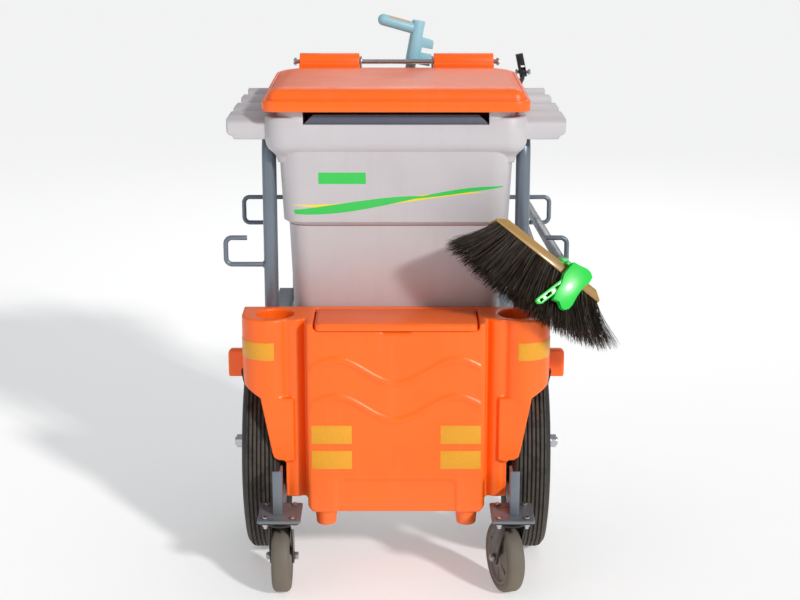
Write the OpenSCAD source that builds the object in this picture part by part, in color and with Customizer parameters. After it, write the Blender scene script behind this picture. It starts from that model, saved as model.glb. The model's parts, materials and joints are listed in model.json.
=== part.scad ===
// Street sweeper's push cart: tubular frame, hinged-lid bin, moulded tool box,
// two large wheels, two swivel casters, and a broom and hand tools in its holders.
// Cart axes: X to the right, Y to the back, Z up, measured from the ground under
// the middle of the main axle. to_origin() then centres the whole on its footprint.

/* [Main wheels] */
// Outside radius of the main tyre
wheel_r = 248; // [235:1:252]
// Width of the main tyre
tyre_w = 90; // [70:1:92]
// Middle of the main tyre from the middle of the cart
wheel_x = 303; // [303:1:312]
// Radius of the steel wheel where the tyre sits
rim_r = 152; // [130:1:165]
// Diameter of the main axle
axle_d = 20; // [16:1:24]
// Number of raised ribs round the tread
tread_ribs = 6; // [3:1:8]
// Number of round holes in the wheel disc
disc_holes = 8; // [4:1:10]

/* [Casters] */
// Outside radius of the caster wheel
caster_r = 80; // [62:1:82]
// Width of the caster tyre
caster_w = 40; // [30:1:44]
// How far the caster wheel trails behind its swivel
caster_trail = 38; // [28:1:44]
// Swivel axis from the middle of the cart
caster_x = 255; // [245:1:262]
// Swivel axis ahead of the main tyre
caster_ahead = 80; // [76:1:92]
// Turn of the right caster as it stands
caster_turn = 17; // [0:1:40]
// Height of the steel plate that the caster bolts to
plate_top = 200; // [200:1:215]

/* [Frame] */
// Outside diameter of the frame tubes
tube_d = 32; // [28:1:34]
// Wall of the frame tubes
tube_wall = 2; // [1.5:0.5:3]
// Centre of the side tubes from the middle of the cart
tube_x = 281; // [281:1:290]
// Centre height of the top rails
rail_z = 1010; // [1000:1:1015]
// Bend radius of the frame tubes
bend_r = 60; // [50:1:80]
// Front uprights ahead of the main axle
upright_y = 110; // [100:1:112]
// Rear legs behind the main axle
leg_y = 368; // [366:1:380]
// Centre of the rear legs from the middle of the cart
leg_x = 249; // [235:1:250]
// Push bar behind the main axle
bar_y = 520; // [500:1:600]
// Thickness of the frame's flat plates
plate_t = 5; // [4:0.5:5]

/* [Bin] */
// Height of the bin's bottom above the middle of the axle
bin_over_axle = 37; // [34:1:60]
// Height of the bin's rim
bin_top = 1083; // [1078:1:1100]
// Half width of the bin's upper part
bin_half = 262; // [240:1:262]
// Wall of the bin
bin_wall = 4; // [3:0.5:6]
// Half width over the bin's wings at the front
wing_half = 375; // [350:1:380]

/* [Bin lid] */
// Half width of the lid
lid_half = 290; // [280:1:300]
// Height of the lid's lip
lid_rim_h = 24; // [20:1:32]
// Height of the lid's crown above its lip, at the front
lid_crown = 27; // [20:1:34]
// Wall of the lid
lid_wall = 5; // [3:0.5:7]
// Diameter of the hinge rod
rod_d = 12; // [10:1:14]
// Outside diameter of the lid's hinge barrels
barrel_d = 42; // [36:1:44]

/* [Tool box] */
// Height of the box's top
box_top = 615; // [605:1:640]
// Half width of the box over its corner columns
box_half = 342; // [330:1:345]
// Radius of the corner columns
column_r = 60; // [56:1:60]
// Diameter of the tool holes in the columns
tool_hole_d = 82; // [60:1:84]
// Depth of the tool holes
tool_hole_depth = 128; // [80:1:130]
// Wall of the tool box
box_wall = 6; // [4:0.5:8]
// Half width of the small lid
box_lid_half = 177; // [150:1:180]

/* [Tools] */
// Diameter of the broom pole
broom_pole_d = 24; // [20:1:26]
// Length of the broom pole
broom_pole_l = 700; // [600:1:1200]
// Length of the broom's wooden block
block_l = 289; // [240:1:300]
// Width of the broom's wooden block
block_w = 58; // [45:1:60]
// Length of the bristles
bristle_l = 112; // [80:1:125]
// Bristles along the block
bristle_cols = 60; // [50:1:64]
// Rows of bristles across the block
bristle_rows = 6; // [6:1:7]
// Diameter of the upright tool's pole
tool_pole_d = 25; // [20:1:26]

/* [Hidden] */
$fn = 48;
ORANGE = [0.95, 0.40, 0.08];
BIN_GREY = [0.62, 0.64, 0.66];
STEEL_GREY = [0.45, 0.49, 0.52];
BLACK = [0.08, 0.08, 0.09];
RUBBER = [0.12, 0.12, 0.11];
TYRE_GREY = [0.42, 0.40, 0.36];
ZINC = [0.75, 0.75, 0.76];
TAPE = [0.80, 0.62, 0.10];
GREEN = [0.15, 0.85, 0.20];
WOOD = [0.78, 0.62, 0.28];
BRISTLE = [0.16, 0.12, 0.08];
SKY = [0.55, 0.80, 0.88];
TAN = [0.80, 0.62, 0.45];
SLATE = [0.20, 0.21, 0.25];

// Clearances
rest_gap = 0.3;
run_gap = 0.05;
pin_gap = 0.05;
weld_gap = 0.05;

// Places worked out from the sizes above
plate_in = tube_x - tube_d / 2 - 15.5;
plate_out = plate_in + plate_t;
rail_end = bar_y - bend_r;
handle_y = leg_y + tube_d / 2 + 26;
wheel_z = wheel_r;
caster_y = wheel_r + caster_ahead;
tyre_in = wheel_x - tyre_w / 2;
tyre_out = wheel_x + tyre_w / 2;
beam_bottom = wheel_r * 2 + 7;
beam_h = 30;
base_bottom = plate_top;
base_top = wheel_z - axle_d / 2 - 10;
bin_bottom = wheel_r + bin_over_axle;
box_rear = upright_y + tube_d / 2 + rest_gap;
column_y = box_rear + column_r + 5;
column_x = box_half - column_r;
// Height where the columns' undercut begins, just under the tyre's top
foot_z = 2 * wheel_r - 16;
panel_y = 275;
panel_half = 197;
lower_half = plate_in - 2.5;
hinge_y = 391;
barrel_in = 92;
hinge_z = bin_top + 19;
lid_front = 200;
lid_rear = 372;
lid_slope = 22;
lid_bottom = bin_top + rest_gap + lid_wall - lid_rim_h;
plate_half_x = 47;
plate_half_y = 55;
plate_h = 6;
bolt_x = 30;
bolt_y = 40;
bolt_d = 8;
hook_d = 11;
hook_rear_drop = 4;
hook_rear_y = leg_y - tube_d / 2 - hook_d / 2 + 1;
hook_x = 382;
hook_low_z = 708;
pole_low_x = 345;
cart_left = hook_x + hook_d / 2;
cart_right = 473.6;
cart_front = caster_y + plate_half_y;
mid_x = (cart_right - cart_left) / 2;
mid_y = (bar_y + tube_d / 2 - cart_front) / 2;

module to_origin() {
    translate([-mid_x, -mid_y, 0]) children();
}

module on_side(side) {
    mirror([side < 0 ? 1 : 0, 0, 0]) children();
}

// A straight round bar between two points
module bar(a, b, d) {
    v = b - a;
    len = norm(v);
    translate(a)
        rotate([0, acos(v[2] / len), atan2(v[1], v[0])])
            cylinder(d = d, h = len);
}

function unit(v) = v / norm(v);

// A round bar through points, with every inner corner bent to radius r
module bent_bar(p, d, r) {
    n = len(p);
    turn = [for (i = [1:n - 2]) acos(unit(p[i] - p[i - 1]) * unit(p[i + 1] - p[i]))];
    cut = [for (i = [0:n - 1]) (i == 0 || i == n - 1) ? 0 : r * tan(turn[i - 1] / 2)];
    for (i = [0:n - 2]) {
        dir = unit(p[i + 1] - p[i]);
        bar(p[i] + dir * cut[i], p[i + 1] - dir * cut[i + 1], d);
    }
    for (i = [1:n - 2]) {
        a = unit(p[i] - p[i - 1]);
        b = unit(p[i + 1] - p[i]);
        start = p[i] - a * cut[i];
        out = -unit(b - a * (a * b));
        mid = start - out * r;
        up = cross(out, a);
        multmatrix([
            [out[0], a[0], up[0], mid[0]],
            [out[1], a[1], up[1], mid[1]],
            [out[2], a[2], up[2], mid[2]],
            [0, 0, 0, 1]
        ])
            rotate_extrude(angle = turn[i - 1])
                translate([r, 0])
                    circle(d = d);
    }
}

module bent_tube(p, d, wall, r) {
    n = len(p);
    first = unit(p[1] - p[0]);
    last = unit(p[n - 1] - p[n - 2]);
    q = [for (i = [0:n - 1]) i == 0 ? p[0] - first : i == n - 1 ? p[i] + last : p[i]];
    difference() {
        bent_bar(p, d, r);
        bent_bar(q, d - 2 * wall, r);
    }
}

// A straight hollow tube between two points
module tube(a, b, d, wall) {
    dir = unit(b - a);
    difference() {
        bar(a, b, d);
        bar(a - dir, b + dir, d - 2 * wall);
    }
}

module rounded_rect(x0, x1, y0, y1, r) {
    translate([x0 + r, y0 + r])
        offset(r = r)
            square([x1 - x0 - 2 * r, y1 - y0 - 2 * r]);
}

// Solid with outline in the cart's Y-Z plane, from x0 to x1
module side_profile(x0, x1) {
    translate([x0, 0, 0])
        rotate([90, 0, 90])
            linear_extrude(x1 - x0)
                children();
}

// Solid with outline in the cart's X-Z plane, from y0 to y1
module front_profile(y0, y1) {
    translate([0, y1, 0])
        rotate([90, 0, 0])
            linear_extrude(y1 - y0)
                children();
}

// Frame

module side_frame(side) {
    on_side(side)
        bent_tube([
            [tube_x, -upright_y, beam_bottom + beam_h],
            [tube_x, -upright_y, rail_z],
            [tube_x, handle_y, rail_z]
        ], tube_d, tube_wall, bend_r);
}

module side_frame_left() {
    color(STEEL_GREY) to_origin() side_frame(-1);
}

module side_frame_right() {
    color(STEEL_GREY) to_origin() side_frame(1);
}

module push_handle() {
    color(STEEL_GREY) to_origin()
        bent_tube([
            [-tube_x, handle_y, rail_z],
            [-tube_x, bar_y, rail_z],
            [tube_x, bar_y, rail_z],
            [tube_x, handle_y, rail_z]
        ], tube_d, tube_wall, bend_r);
}

module rear_cross_tube() {
    half = tube_x - tube_d / 2;
    color(STEEL_GREY) to_origin()
        tube([-half, leg_y, rail_z], [half, leg_y, rail_z], tube_d, tube_wall);
}

module rear_leg(side) {
    on_side(side)
        tube([leg_x, leg_y, base_top], [leg_x, leg_y, rail_z - tube_d / 2], tube_d, tube_wall);
}

module rear_leg_left() {
    color(STEEL_GREY) to_origin() rear_leg(-1);
}

module rear_leg_right() {
    color(STEEL_GREY) to_origin() rear_leg(1);
}

// Flat rail beside the wheel, with the L-shaped post over the caster
module base_rail(side) {
    post_y = caster_y + 17;
    post_w = 40;
    post_top = plate_top + 100;
    on_side(side) {
        side_profile(plate_in, plate_out)
            polygon([
                [-post_y, base_bottom], [-post_y, post_top], [-post_y + post_w, post_top],
                [-post_y + post_w, base_top], [leg_y - 20, base_top], [leg_y - 20, base_bottom]
            ]);
        translate([plate_in, -post_y, base_bottom])
            cube([20, plate_t, post_top - base_bottom]);
    }
}

module base_rail_left() {
    color(STEEL_GREY) to_origin() base_rail(-1);
}

module base_rail_right() {
    color(STEEL_GREY) to_origin() base_rail(1);
}

// Upright plate that holds the axle and carries the top beam
module axle_plate(side) {
    top = beam_bottom + beam_h;
    on_side(side)
        difference() {
            side_profile(plate_in, plate_out)
                polygon([
                    [-upright_y - 14, base_top], [60, base_top], [60, wheel_z + 45],
                    [-50, top], [-upright_y - 14, top]
                ]);
            translate([plate_in - 1, 0, wheel_z])
                rotate([0, 90, 0])
                    cylinder(d = axle_d + 2 * run_gap, h = plate_t + 2);
        }
}

module axle_plate_left() {
    color(STEEL_GREY) to_origin() axle_plate(-1);
}

module axle_plate_right() {
    color(STEEL_GREY) to_origin() axle_plate(1);
}

// Box-section beam over the wheel, from the axle plate to the rear leg
module top_beam(side) {
    wall = 2.5;
    y0 = -upright_y - tube_d / 2;
    y1 = leg_y - tube_d / 2 + 0.8;
    on_side(side)
        difference() {
            translate([plate_out, y0, beam_bottom])
                cube([tube_x + tube_d / 2 - plate_out, y1 - y0, beam_h]);
            translate([plate_out + wall, y0 - 1, beam_bottom + wall])
                cube([tube_x + tube_d / 2 - plate_out - 2 * wall, y1 - y0 + 2, beam_h - 2 * wall]);
        }
}

module top_beam_left() {
    color(STEEL_GREY) to_origin() top_beam(-1);
}

module top_beam_right() {
    color(STEEL_GREY) to_origin() top_beam(1);
}

module box_beam(half, y0, y1, z0, z1) {
    wall = 2.5;
    difference() {
        translate([-half, y0, z0])
            cube([2 * half, y1 - y0, z1 - z0]);
        translate([-half - 1, y0 + wall, z0 + wall])
            cube([2 * half + 2, y1 - y0 - 2 * wall, z1 - z0 - 2 * wall]);
    }
}

module front_cross_beam() {
    color(STEEL_GREY) to_origin()
        box_beam(plate_in, -upright_y - 14, -upright_y + 16, base_bottom, base_top);
}

module rear_cross_beam() {
    color(STEEL_GREY) to_origin()
        box_beam(leg_x + tube_d / 2, leg_y - 20, leg_y + 20, base_bottom, base_top);
}

module bolt_places() {
    for (sx = [-1, 1], sy = [-1, 1])
        translate([sx * bolt_x, sy * bolt_y, 0]) children();
}

// Steel plates that the casters bolt to, under the base rails
module caster_plates() {
    color(STEEL_GREY) to_origin()
        for (side = [-1, 1])
            on_side(side)
                translate([caster_x, -caster_y, plate_top - plate_h])
                    difference() {
                        linear_extrude(plate_h)
                            rounded_rect(-plate_half_x, plate_half_x, -plate_half_y, plate_half_y, 6);
                        translate([0, 0, -1])
                            bolt_places() cylinder(d = bolt_d + 1, h = plate_h + 2);
                    }
}

// Open rod hook on the front upright: lower bar welded, upper bar free
module front_hook(side) {
    r = 14;
    tall = 61;
    on_side(side)
        difference() {
            bent_bar([
                [tube_x, -upright_y, hook_low_z],
                [hook_x, -upright_y, hook_low_z],
                [hook_x, -upright_y, hook_low_z + tall],
                [tube_x + 53, -upright_y, hook_low_z + tall]
            ], hook_d, r);
            translate([tube_x, -upright_y, hook_low_z - 20])
                cylinder(d = tube_d + 2 * weld_gap, h = 40);
        }
}

module front_hook_left() {
    color(STEEL_GREY) to_origin() front_hook(-1);
}

module front_hook_right() {
    color(STEEL_GREY) to_origin() front_hook(1);
}

// Rod hook on the rear leg: upper bar welded, lower bar free
module rear_hook(side) {
    r = 14;
    tall = 65;
    low = hook_low_z - hook_rear_drop;
    on_side(side)
        difference() {
            bent_bar([
                [leg_x - 8, hook_rear_y, low + tall],
                [hook_x, hook_rear_y, low + tall],
                [hook_x, hook_rear_y, low],
                [tube_x + 20, hook_rear_y, low]
            ], hook_d, r);
            translate([leg_x, leg_y, low + tall - 20])
                cylinder(d = tube_d + 2 * weld_gap, h = 40);
        }
}

module rear_hook_left() {
    color(STEEL_GREY) to_origin() rear_hook(-1);
}

module rear_hook_right() {
    color(STEEL_GREY) to_origin() rear_hook(1);
}

// Main wheels

hub_r = 34;
hub_in = tyre_in + 5;
hub_out = tyre_out + 15;
bearing_d = 47;
bearing_w = 14;
nut_x = hub_out + 0.5;

module main_axle() {
    half = nut_x + 20;
    color(ZINC) to_origin()
        translate([-half, 0, wheel_z])
            rotate([0, 90, 0])
                cylinder(d = axle_d, h = 2 * half);
}

// Washer and nut outside each wheel, and the spacer inside it
module axle_nuts() {
    bore = axle_d + 2 * run_gap;
    color(ZINC) to_origin()
        for (side = [-1, 1])
            on_side(side)
                translate([0, 0, wheel_z])
                    rotate([0, 90, 0])
                        difference() {
                            union() {
                                translate([0, 0, nut_x]) cylinder(d = 37, h = 3);
                                translate([0, 0, nut_x + 3]) cylinder(d = 33, h = 13, $fn = 6);
                                translate([0, 0, plate_out])
                                    cylinder(d = 28, h = hub_in - 0.5 - plate_out);
                            }
                            cylinder(d = bore, h = nut_x + 20);
                        }
}

// Pressed steel wheel: hub, flared disc with round holes, and the rim
module main_wheel(side) {
    w = tyre_w / 2 - 8;
    well = 14;
    disc = 4;
    on_side(side)
        translate([wheel_x, 0, wheel_z])
            rotate([0, 90, 0])
                difference() {
                    union() {
                        rotate_extrude($fn = 96)
                            polygon([
                                [rim_r - well - 4, -w * 0.4], [rim_r - well - 4, w * 0.4],
                                [rim_r - 4, w * 0.6], [rim_r - 4, w - 2], [rim_r + 10, w],
                                [rim_r + 10, w - 3], [rim_r - rest_gap, w - 5], [rim_r - rest_gap, w * 0.6],
                                [rim_r - well, w * 0.4], [rim_r - well, -w * 0.4],
                                [rim_r - rest_gap, -w * 0.6], [rim_r - rest_gap, 5 - w],
                                [rim_r + 10, 3 - w], [rim_r + 10, -w], [rim_r - 4, 2 - w],
                                [rim_r - 4, -w * 0.6]
                            ]);
                        rotate_extrude($fn = 96)
                            polygon([
                                [hub_r - 2, 12], [hub_r + 20, 12], [hub_r + 46, 0],
                                [rim_r - well - 3, 0], [rim_r - well - 3, disc],
                                [hub_r + 47, disc], [hub_r + 21, 12 + disc], [hub_r - 2, 12 + disc]
                            ]);
                        translate([0, 0, hub_in - wheel_x])
                            cylinder(r = hub_r, h = hub_out - hub_in);
                    }
                    for (i = [0:disc_holes - 1])
                        rotate(i * 360 / disc_holes)
                            translate([(hub_r + 47 + rim_r - well) / 2, 0, -1])
                                cylinder(d = 34, h = disc + 2);
                    translate([0, 0, hub_in - wheel_x - 1])
                        cylinder(d = bearing_d, h = hub_out - hub_in + 2);
                }
}

module wheel_left() {
    color(BLACK) to_origin() main_wheel(-1);
}

module wheel_right() {
    color(BLACK) to_origin() main_wheel(1);
}

// Tyre with straight ribs round the tread
module main_tyre(side) {
    w = tyre_w / 2;
    rib_zone = w * 0.62;
    pitch = 2 * rib_zone / tread_ribs;
    groove = pitch * 0.42;
    depth = 5;
    on_side(side)
        translate([wheel_x, 0, wheel_z])
            rotate([0, 90, 0])
                rotate_extrude($fn = 120)
                    difference() {
                        polygon([
                            [rim_r, 14 - w], [rim_r + 12, 12 - w], [rim_r + 18, 9 - w], [rim_r + 28, 4 - w],
                            [rim_r + 50, -w], [wheel_r - 32, -w], [wheel_r - 14, 3 - w],
                            [wheel_r - 4, 11 - w], [wheel_r, -rib_zone], [wheel_r, rib_zone],
                            [wheel_r - 4, w - 11], [wheel_r - 14, w - 3], [wheel_r - 32, w],
                            [rim_r + 50, w], [rim_r + 28, w - 4], [rim_r + 18, w - 9],
                            [rim_r + 12, w - 12], [rim_r, w - 14], [rim_r, w - 20], [rim_r + 16, w - 20],
                            [rim_r + 40, w - 9], [wheel_r - 30, w - 9], [wheel_r - 14, w - 26],
                            [wheel_r - 14, 26 - w], [wheel_r - 30, 9 - w], [rim_r + 40, 9 - w],
                            [rim_r + 16, 20 - w], [rim_r, 20 - w]
                        ]);
                        for (i = [0:tread_ribs])
                            translate([wheel_r - depth, -rib_zone + i * pitch - groove / 2])
                                square([depth + 1, groove]);
                    }
}

module tyre_left() {
    color(RUBBER) to_origin() main_tyre(-1);
}

module tyre_right() {
    color(RUBBER) to_origin() main_tyre(1);
}

// Two ball bearings in the hub, one at each end
module wheel_bearings(side) {
    on_side(side)
        translate([0, 0, wheel_z])
            rotate([0, 90, 0])
                for (x = [hub_in, hub_out - bearing_w])
                    translate([0, 0, x])
                        difference() {
                            cylinder(d = bearing_d - 2 * run_gap, h = bearing_w);
                            translate([0, 0, -1])
                                cylinder(d = axle_d + 2 * run_gap, h = bearing_w + 2);
                        }
}

module wheel_bearings_left() {
    color(ZINC) to_origin() wheel_bearings(-1);
}

module wheel_bearings_right() {
    color(ZINC) to_origin() wheel_bearings(1);
}

// Casters

top_plate_h = 4;
race_h = 10;
caster_plate_z = plate_top - plate_h;
race_z = caster_plate_z - top_plate_h - race_h;
crown_z = race_z - rest_gap;
crown_t = 5;
kingpin_d = 12;
fork_in = caster_w / 2 + 3;
fork_t = 4;
caster_axle_d = 12;

// Moves a caster piece, built round its own swivel axis, to its place
module at_caster(side, turned = true) {
    translate([side * caster_x, -caster_y, 0])
        rotate([0, 0, turned && side > 0 ? caster_turn : 0]) children();
}

module caster_top(side) {
    at_caster(side, false) {
        translate([0, 0, caster_plate_z - top_plate_h])
            difference() {
                linear_extrude(top_plate_h)
                    rounded_rect(-plate_half_x + 4, plate_half_x - 4, 4 - plate_half_y,
                        plate_half_y - 4, 6);
                translate([0, 0, -1])
                    bolt_places() cylinder(d = bolt_d + 1, h = top_plate_h + 2);
            }
        translate([0, 0, race_z])
            cylinder(r1 = 29, r2 = 33, h = race_h);
        translate([0, 0, crown_z - crown_t - rest_gap - 6])
            cylinder(d = 24, h = 6);
        translate([0, 0, crown_z - crown_t - rest_gap - 1])
            cylinder(d = kingpin_d, h = crown_t + 3);
    }
}

module caster_top_left() {
    color(BLACK) to_origin() caster_top(-1);
}

module caster_top_right() {
    color(BLACK) to_origin() caster_top(1);
}

// Four bolts through each caster's plates, with heads above and nuts below
module caster_bolts() {
    head = 13;
    color(ZINC) to_origin()
        for (side = [-1, 1])
            at_caster(side, false)
                bolt_places() {
                    translate([0, 0, plate_top + rest_gap])
                        cylinder(d = head, h = 5, $fn = 6);
                    translate([0, 0, caster_plate_z - top_plate_h - 12])
                        cylinder(d = bolt_d, h = plate_top - caster_plate_z + top_plate_h + 13);
                    translate([0, 0, caster_plate_z - top_plate_h - rest_gap - 6.5])
                        cylinder(d = head, h = 6.5, $fn = 6);
                }
}

// Swivelling fork: crown dish, kingpin head and two slanted legs
module caster_fork(side) {
    at_caster(side) {
        difference() {
            union() {
                translate([0, 0, crown_z - crown_t])
                    cylinder(r = 32, h = crown_t);
                for (sx = [-1, 1])
                    side_profile(sx > 0 ? fork_in : -fork_in - fork_t,
                        sx > 0 ? fork_in + fork_t : -fork_in) {
                        polygon([
                            [-24, crown_z], [30, crown_z], [caster_trail + 15, caster_r + 30],
                            [caster_trail + 17, caster_r], [caster_trail - 17, caster_r]
                        ]);
                        translate([caster_trail, caster_r]) circle(r = 17);
                    }
            }
            translate([-60, caster_trail, caster_r])
                rotate([0, 90, 0])
                    cylinder(d = caster_axle_d + 2 * run_gap, h = 120);
            translate([0, 0, crown_z - crown_t - 1])
                cylinder(d = kingpin_d + 2 * run_gap, h = crown_t + 2);
        }
    }
}

module caster_fork_left() {
    color(BLACK) to_origin() caster_fork(-1);
}

module caster_fork_right() {
    color(BLACK) to_origin() caster_fork(1);
}

module caster_axle(side) {
    half = fork_in + fork_t + rest_gap;
    at_caster(side)
        translate([0, caster_trail, caster_r])
            rotate([0, 90, 0]) {
                translate([0, 0, -half - 9])
                    cylinder(d = caster_axle_d, h = 2 * half + 14);
                translate([0, 0, -half - 7]) cylinder(d = 19, h = 7, $fn = 6);
                translate([0, 0, half]) cylinder(d = 19, h = 9, $fn = 6);
            }
}

module caster_axle_left() {
    color(ZINC) to_origin() caster_axle(-1);
}

module caster_axle_right() {
    color(ZINC) to_origin() caster_axle(1);
}

tread_t = 17;

// Caster wheel centre: bored hub, dished web with ribs, and rim
module caster_wheel(side) {
    w = caster_w / 2;
    rim = caster_r - tread_t;
    at_caster(side)
        translate([0, caster_trail, caster_r])
            rotate([0, 90, 0])
                difference() {
                    union() {
                        rotate_extrude($fn = 72)
                            polygon([
                                [14, -w - 2], [20, -w - 2], [24, 4 - w], [rim - 10, 6 - w],
                                [rim - 6, 1 - w], [rim, 1 - w], [rim, w - 1], [rim - 6, w - 1],
                                [rim - 10, w - 6], [24, w - 4], [20, w + 2],
                                [14, w + 2], [5, w + 2], [5, -w - 2]
                            ]);
                        for (i = [0:5])
                            rotate(i * 60)
                                translate([20, -2, 2 - w])
                                    cube([rim - 24, 4, 2 * w - 4]);
                    }
                    translate([0, 0, -w - 4])
                        cylinder(d = caster_axle_d + 2 * run_gap, h = 2 * w + 8);
                }
}

module caster_wheel_left() {
    color(STEEL_GREY) to_origin() caster_wheel(-1);
}

module caster_wheel_right() {
    color(STEEL_GREY) to_origin() caster_wheel(1);
}

module caster_tyre(side) {
    w = caster_w / 2;
    rim = caster_r - tread_t;
    at_caster(side)
        translate([0, caster_trail, caster_r])
            rotate([0, 90, 0])
                rotate_extrude($fn = 96)
                    polygon([
                        [rim, -w + 1], [rim + 2, -w], [caster_r - 8, -w], [caster_r - 3, 3 - w],
                        [caster_r, 8 - w], [caster_r, w - 8], [caster_r - 3, w - 3],
                        [caster_r - 8, w], [rim + 2, w], [rim, w - 1]
                    ]);
}

module caster_tyre_left() {
    color(TYRE_GREY) to_origin() caster_tyre(-1);
}

module caster_tyre_right() {
    color(TYRE_GREY) to_origin() caster_tyre(1);
}

// Tool box

hole_x = column_x - 14;
hole_y = column_y - 4;
lid_gap_half = box_lid_half + 4;
pin_z = box_top - 8;
pin_y = box_rear + 20;
pin_d = 6;
lid_t = 15;
arch_r = wheel_r + 4;
box_floor = 200.3;
centre_floor = 177;

// Outline of the box from above: centre panel, recesses and corner columns
module box_plan() {
    union() {
        translate([-panel_half, -panel_y])
            offset(r = 10) offset(delta = -10)
                square([2 * panel_half, panel_y - box_rear]);
        translate([-box_half, -column_y])
            square([2 * box_half, column_y - box_rear]);
        translate([-lower_half, -box_rear - 100])
            square([2 * lower_half, 100]);
        for (side = [-1, 1])
            translate([side * column_x, -column_y]) circle(r = column_r, $fn = 72);
        for (side = [-1, 1])
            translate([side * (panel_half + 28), -box_rear - 86])
                circle(r = 28);
    }
}

// Half of the box's outline from the front, with the column's curved underside
module box_front() {
    s = box_half - 5;
    for (m = [0, 1])
        mirror([m, 0])
            polygon([
                [0, centre_floor], [185, centre_floor], [206, box_floor], [lower_half, box_floor],
                [lower_half, 291], [lower_half + 4, 300], [lower_half + 11, 387], [lower_half + 22, 411],
                [box_half - 45, foot_z - 46], [s, foot_z - 23], [box_half, foot_z],
                [box_half, box_top], [0, box_top]
            ]);
}

// Height of a wave ridge along the front panel
function wave(x, z) = z + 27 * cos(x * 360 / 266 + 180);

module wave_ridge(z) {
    n = 48;
    half = 187;
    t = 6;
    xs = [for (i = [0:n]) -half + 2 * half * i / n];
    front_profile(-panel_y - 4, -panel_y + 3)
        polygon(concat(
            [for (x = xs) [x, wave(x, z) - t]],
            [for (i = [n:-1:0]) [xs[i], wave(xs[i], z) + t]]
        ));
}

module tool_box() {
    recess_half = 134;
    color(ORANGE) to_origin()
        difference() {
            union() {
                intersection() {
                    translate([0, 0, centre_floor])
                        linear_extrude(box_top - centre_floor) box_plan();
                    front_profile(-panel_y - 1, -box_rear) box_front();
                }
                wave_ridge(506);
                wave_ridge(421);
                // Side skirt in front of each wheel
                for (side = [-1, 1])
                    on_side(side)
                        front_profile(-column_y - column_r + 2, -box_rear - 60)
                            polygon([
                                [lower_half - 20, 291], [lower_half, 285], [260, 286], [275, 299],
                                [box_half - 43, foot_z - 51], [box_half - 43, foot_z - 44],
                                [lower_half - 20, foot_z - 44]
                            ]);
                for (side = [-1, 1])
                    on_side(side)
                        front_profile(-box_rear - 20, -box_rear)
                            rounded_rect(box_half - 16, box_half + 38, foot_z - 34, foot_z + 38, 10);
                for (side = [-1, 1], y = [-panel_y + 30, -box_rear - 30])
                    translate([side * 157, y, 143])
                        cylinder(d1 = 44, d2 = 50, h = centre_floor - 142);
            }
            // Wheel arches
            for (side = [-1, 1])
                on_side(side)
                    translate([lower_half, 0, wheel_z])
                        rotate([0, 90, 0])
                            cylinder(r = arch_r, h = 160, $fn = 120);
            // Tool holes
            for (side = [-1, 1])
                translate([side * hole_x, -hole_y, box_top - tool_hole_depth])
                    cylinder(d = tool_hole_d, h = tool_hole_depth + 1, $fn = 72);
            // Lid seat and storage space
            translate([-lid_gap_half, -panel_y - 1, box_top - lid_t - rest_gap])
                cube([2 * lid_gap_half, panel_y - pin_y + 9, lid_t + 2]);
            translate([-box_lid_half + 12, -panel_y + box_wall, 330])
                linear_extrude(box_top - 330)
                    rounded_rect(0, 2 * box_lid_half - 24, 0, panel_y - box_rear - 2 * box_wall - 14, 12);
            // Lower panel and finger recess
            front_profile(-panel_y - 1, -panel_y + 4)
                rounded_rect(-recess_half, recess_half, centre_floor - 20, 255, 14);
            translate([-34, -panel_y - 1, box_top - lid_t - 8])
                cube([68, 6, 10]);
            // Hinge pin
            translate([-lid_gap_half - 12, -pin_y, pin_z])
                rotate([0, 90, 0])
                    cylinder(d = pin_d + 2 * pin_gap, h = 2 * lid_gap_half + 24);
        }
}

// Steel strap under the outer edge of each column
module box_straps() {
    t = 4;
    low = box_half - 41.5;
    color(BLACK) to_origin()
        for (side = [-1, 1])
            on_side(side)
                difference() {
                    front_profile(-column_y - 8, -column_y + 11)
                        polygon([
                            [box_half + rest_gap, foot_z + 6], [box_half + rest_gap, foot_z],
                            [box_half - 5 + rest_gap, foot_z - 23.4], [low, foot_z - 44.5],
                            [low + 2, foot_z - 48], [box_half - 2, foot_z - 26],
                            [box_half + t, foot_z - 1], [box_half + t, foot_z + 6]
                        ]);
                    translate([lower_half, 0, wheel_z])
                        rotate([0, 90, 0])
                            cylinder(r = arch_r, h = 160, $fn = 120);
                }
}

// Steel pin of the small lid, in the box's two ends
module tool_box_hinge_pin() {
    half = lid_gap_half + 11.5;
    color(ZINC) to_origin()
        translate([-half, -pin_y, pin_z])
            rotate([0, 90, 0])
                cylinder(d = pin_d, h = 2 * half);
}

// Small lid with a rolled front lip and a bored rear knuckle
module tool_box_lid() {
    front = panel_y + 5;
    color(ORANGE) to_origin()
        difference() {
            union() {
                translate([0, 0, box_top - lid_t])
                    linear_extrude(lid_t - 2)
                        rounded_rect(-box_lid_half, box_lid_half, -front, -pin_y, 12);
                translate([0, 0, box_top - lid_t + 6])
                    linear_extrude(lid_t - 6)
                        rounded_rect(4 - box_lid_half, box_lid_half - 4, 4 - front, -pin_y - 4, 12);
                translate([-box_lid_half, -pin_y, pin_z])
                    rotate([0, 90, 0])
                        cylinder(r = lid_t / 2 - 0.6, h = 2 * box_lid_half);
            }
            translate([-box_lid_half - 1, -pin_y, pin_z])
                rotate([0, 90, 0])
                    cylinder(d = pin_d + 2 * pin_gap, h = 2 * box_lid_half + 2);
        }
}

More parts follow.
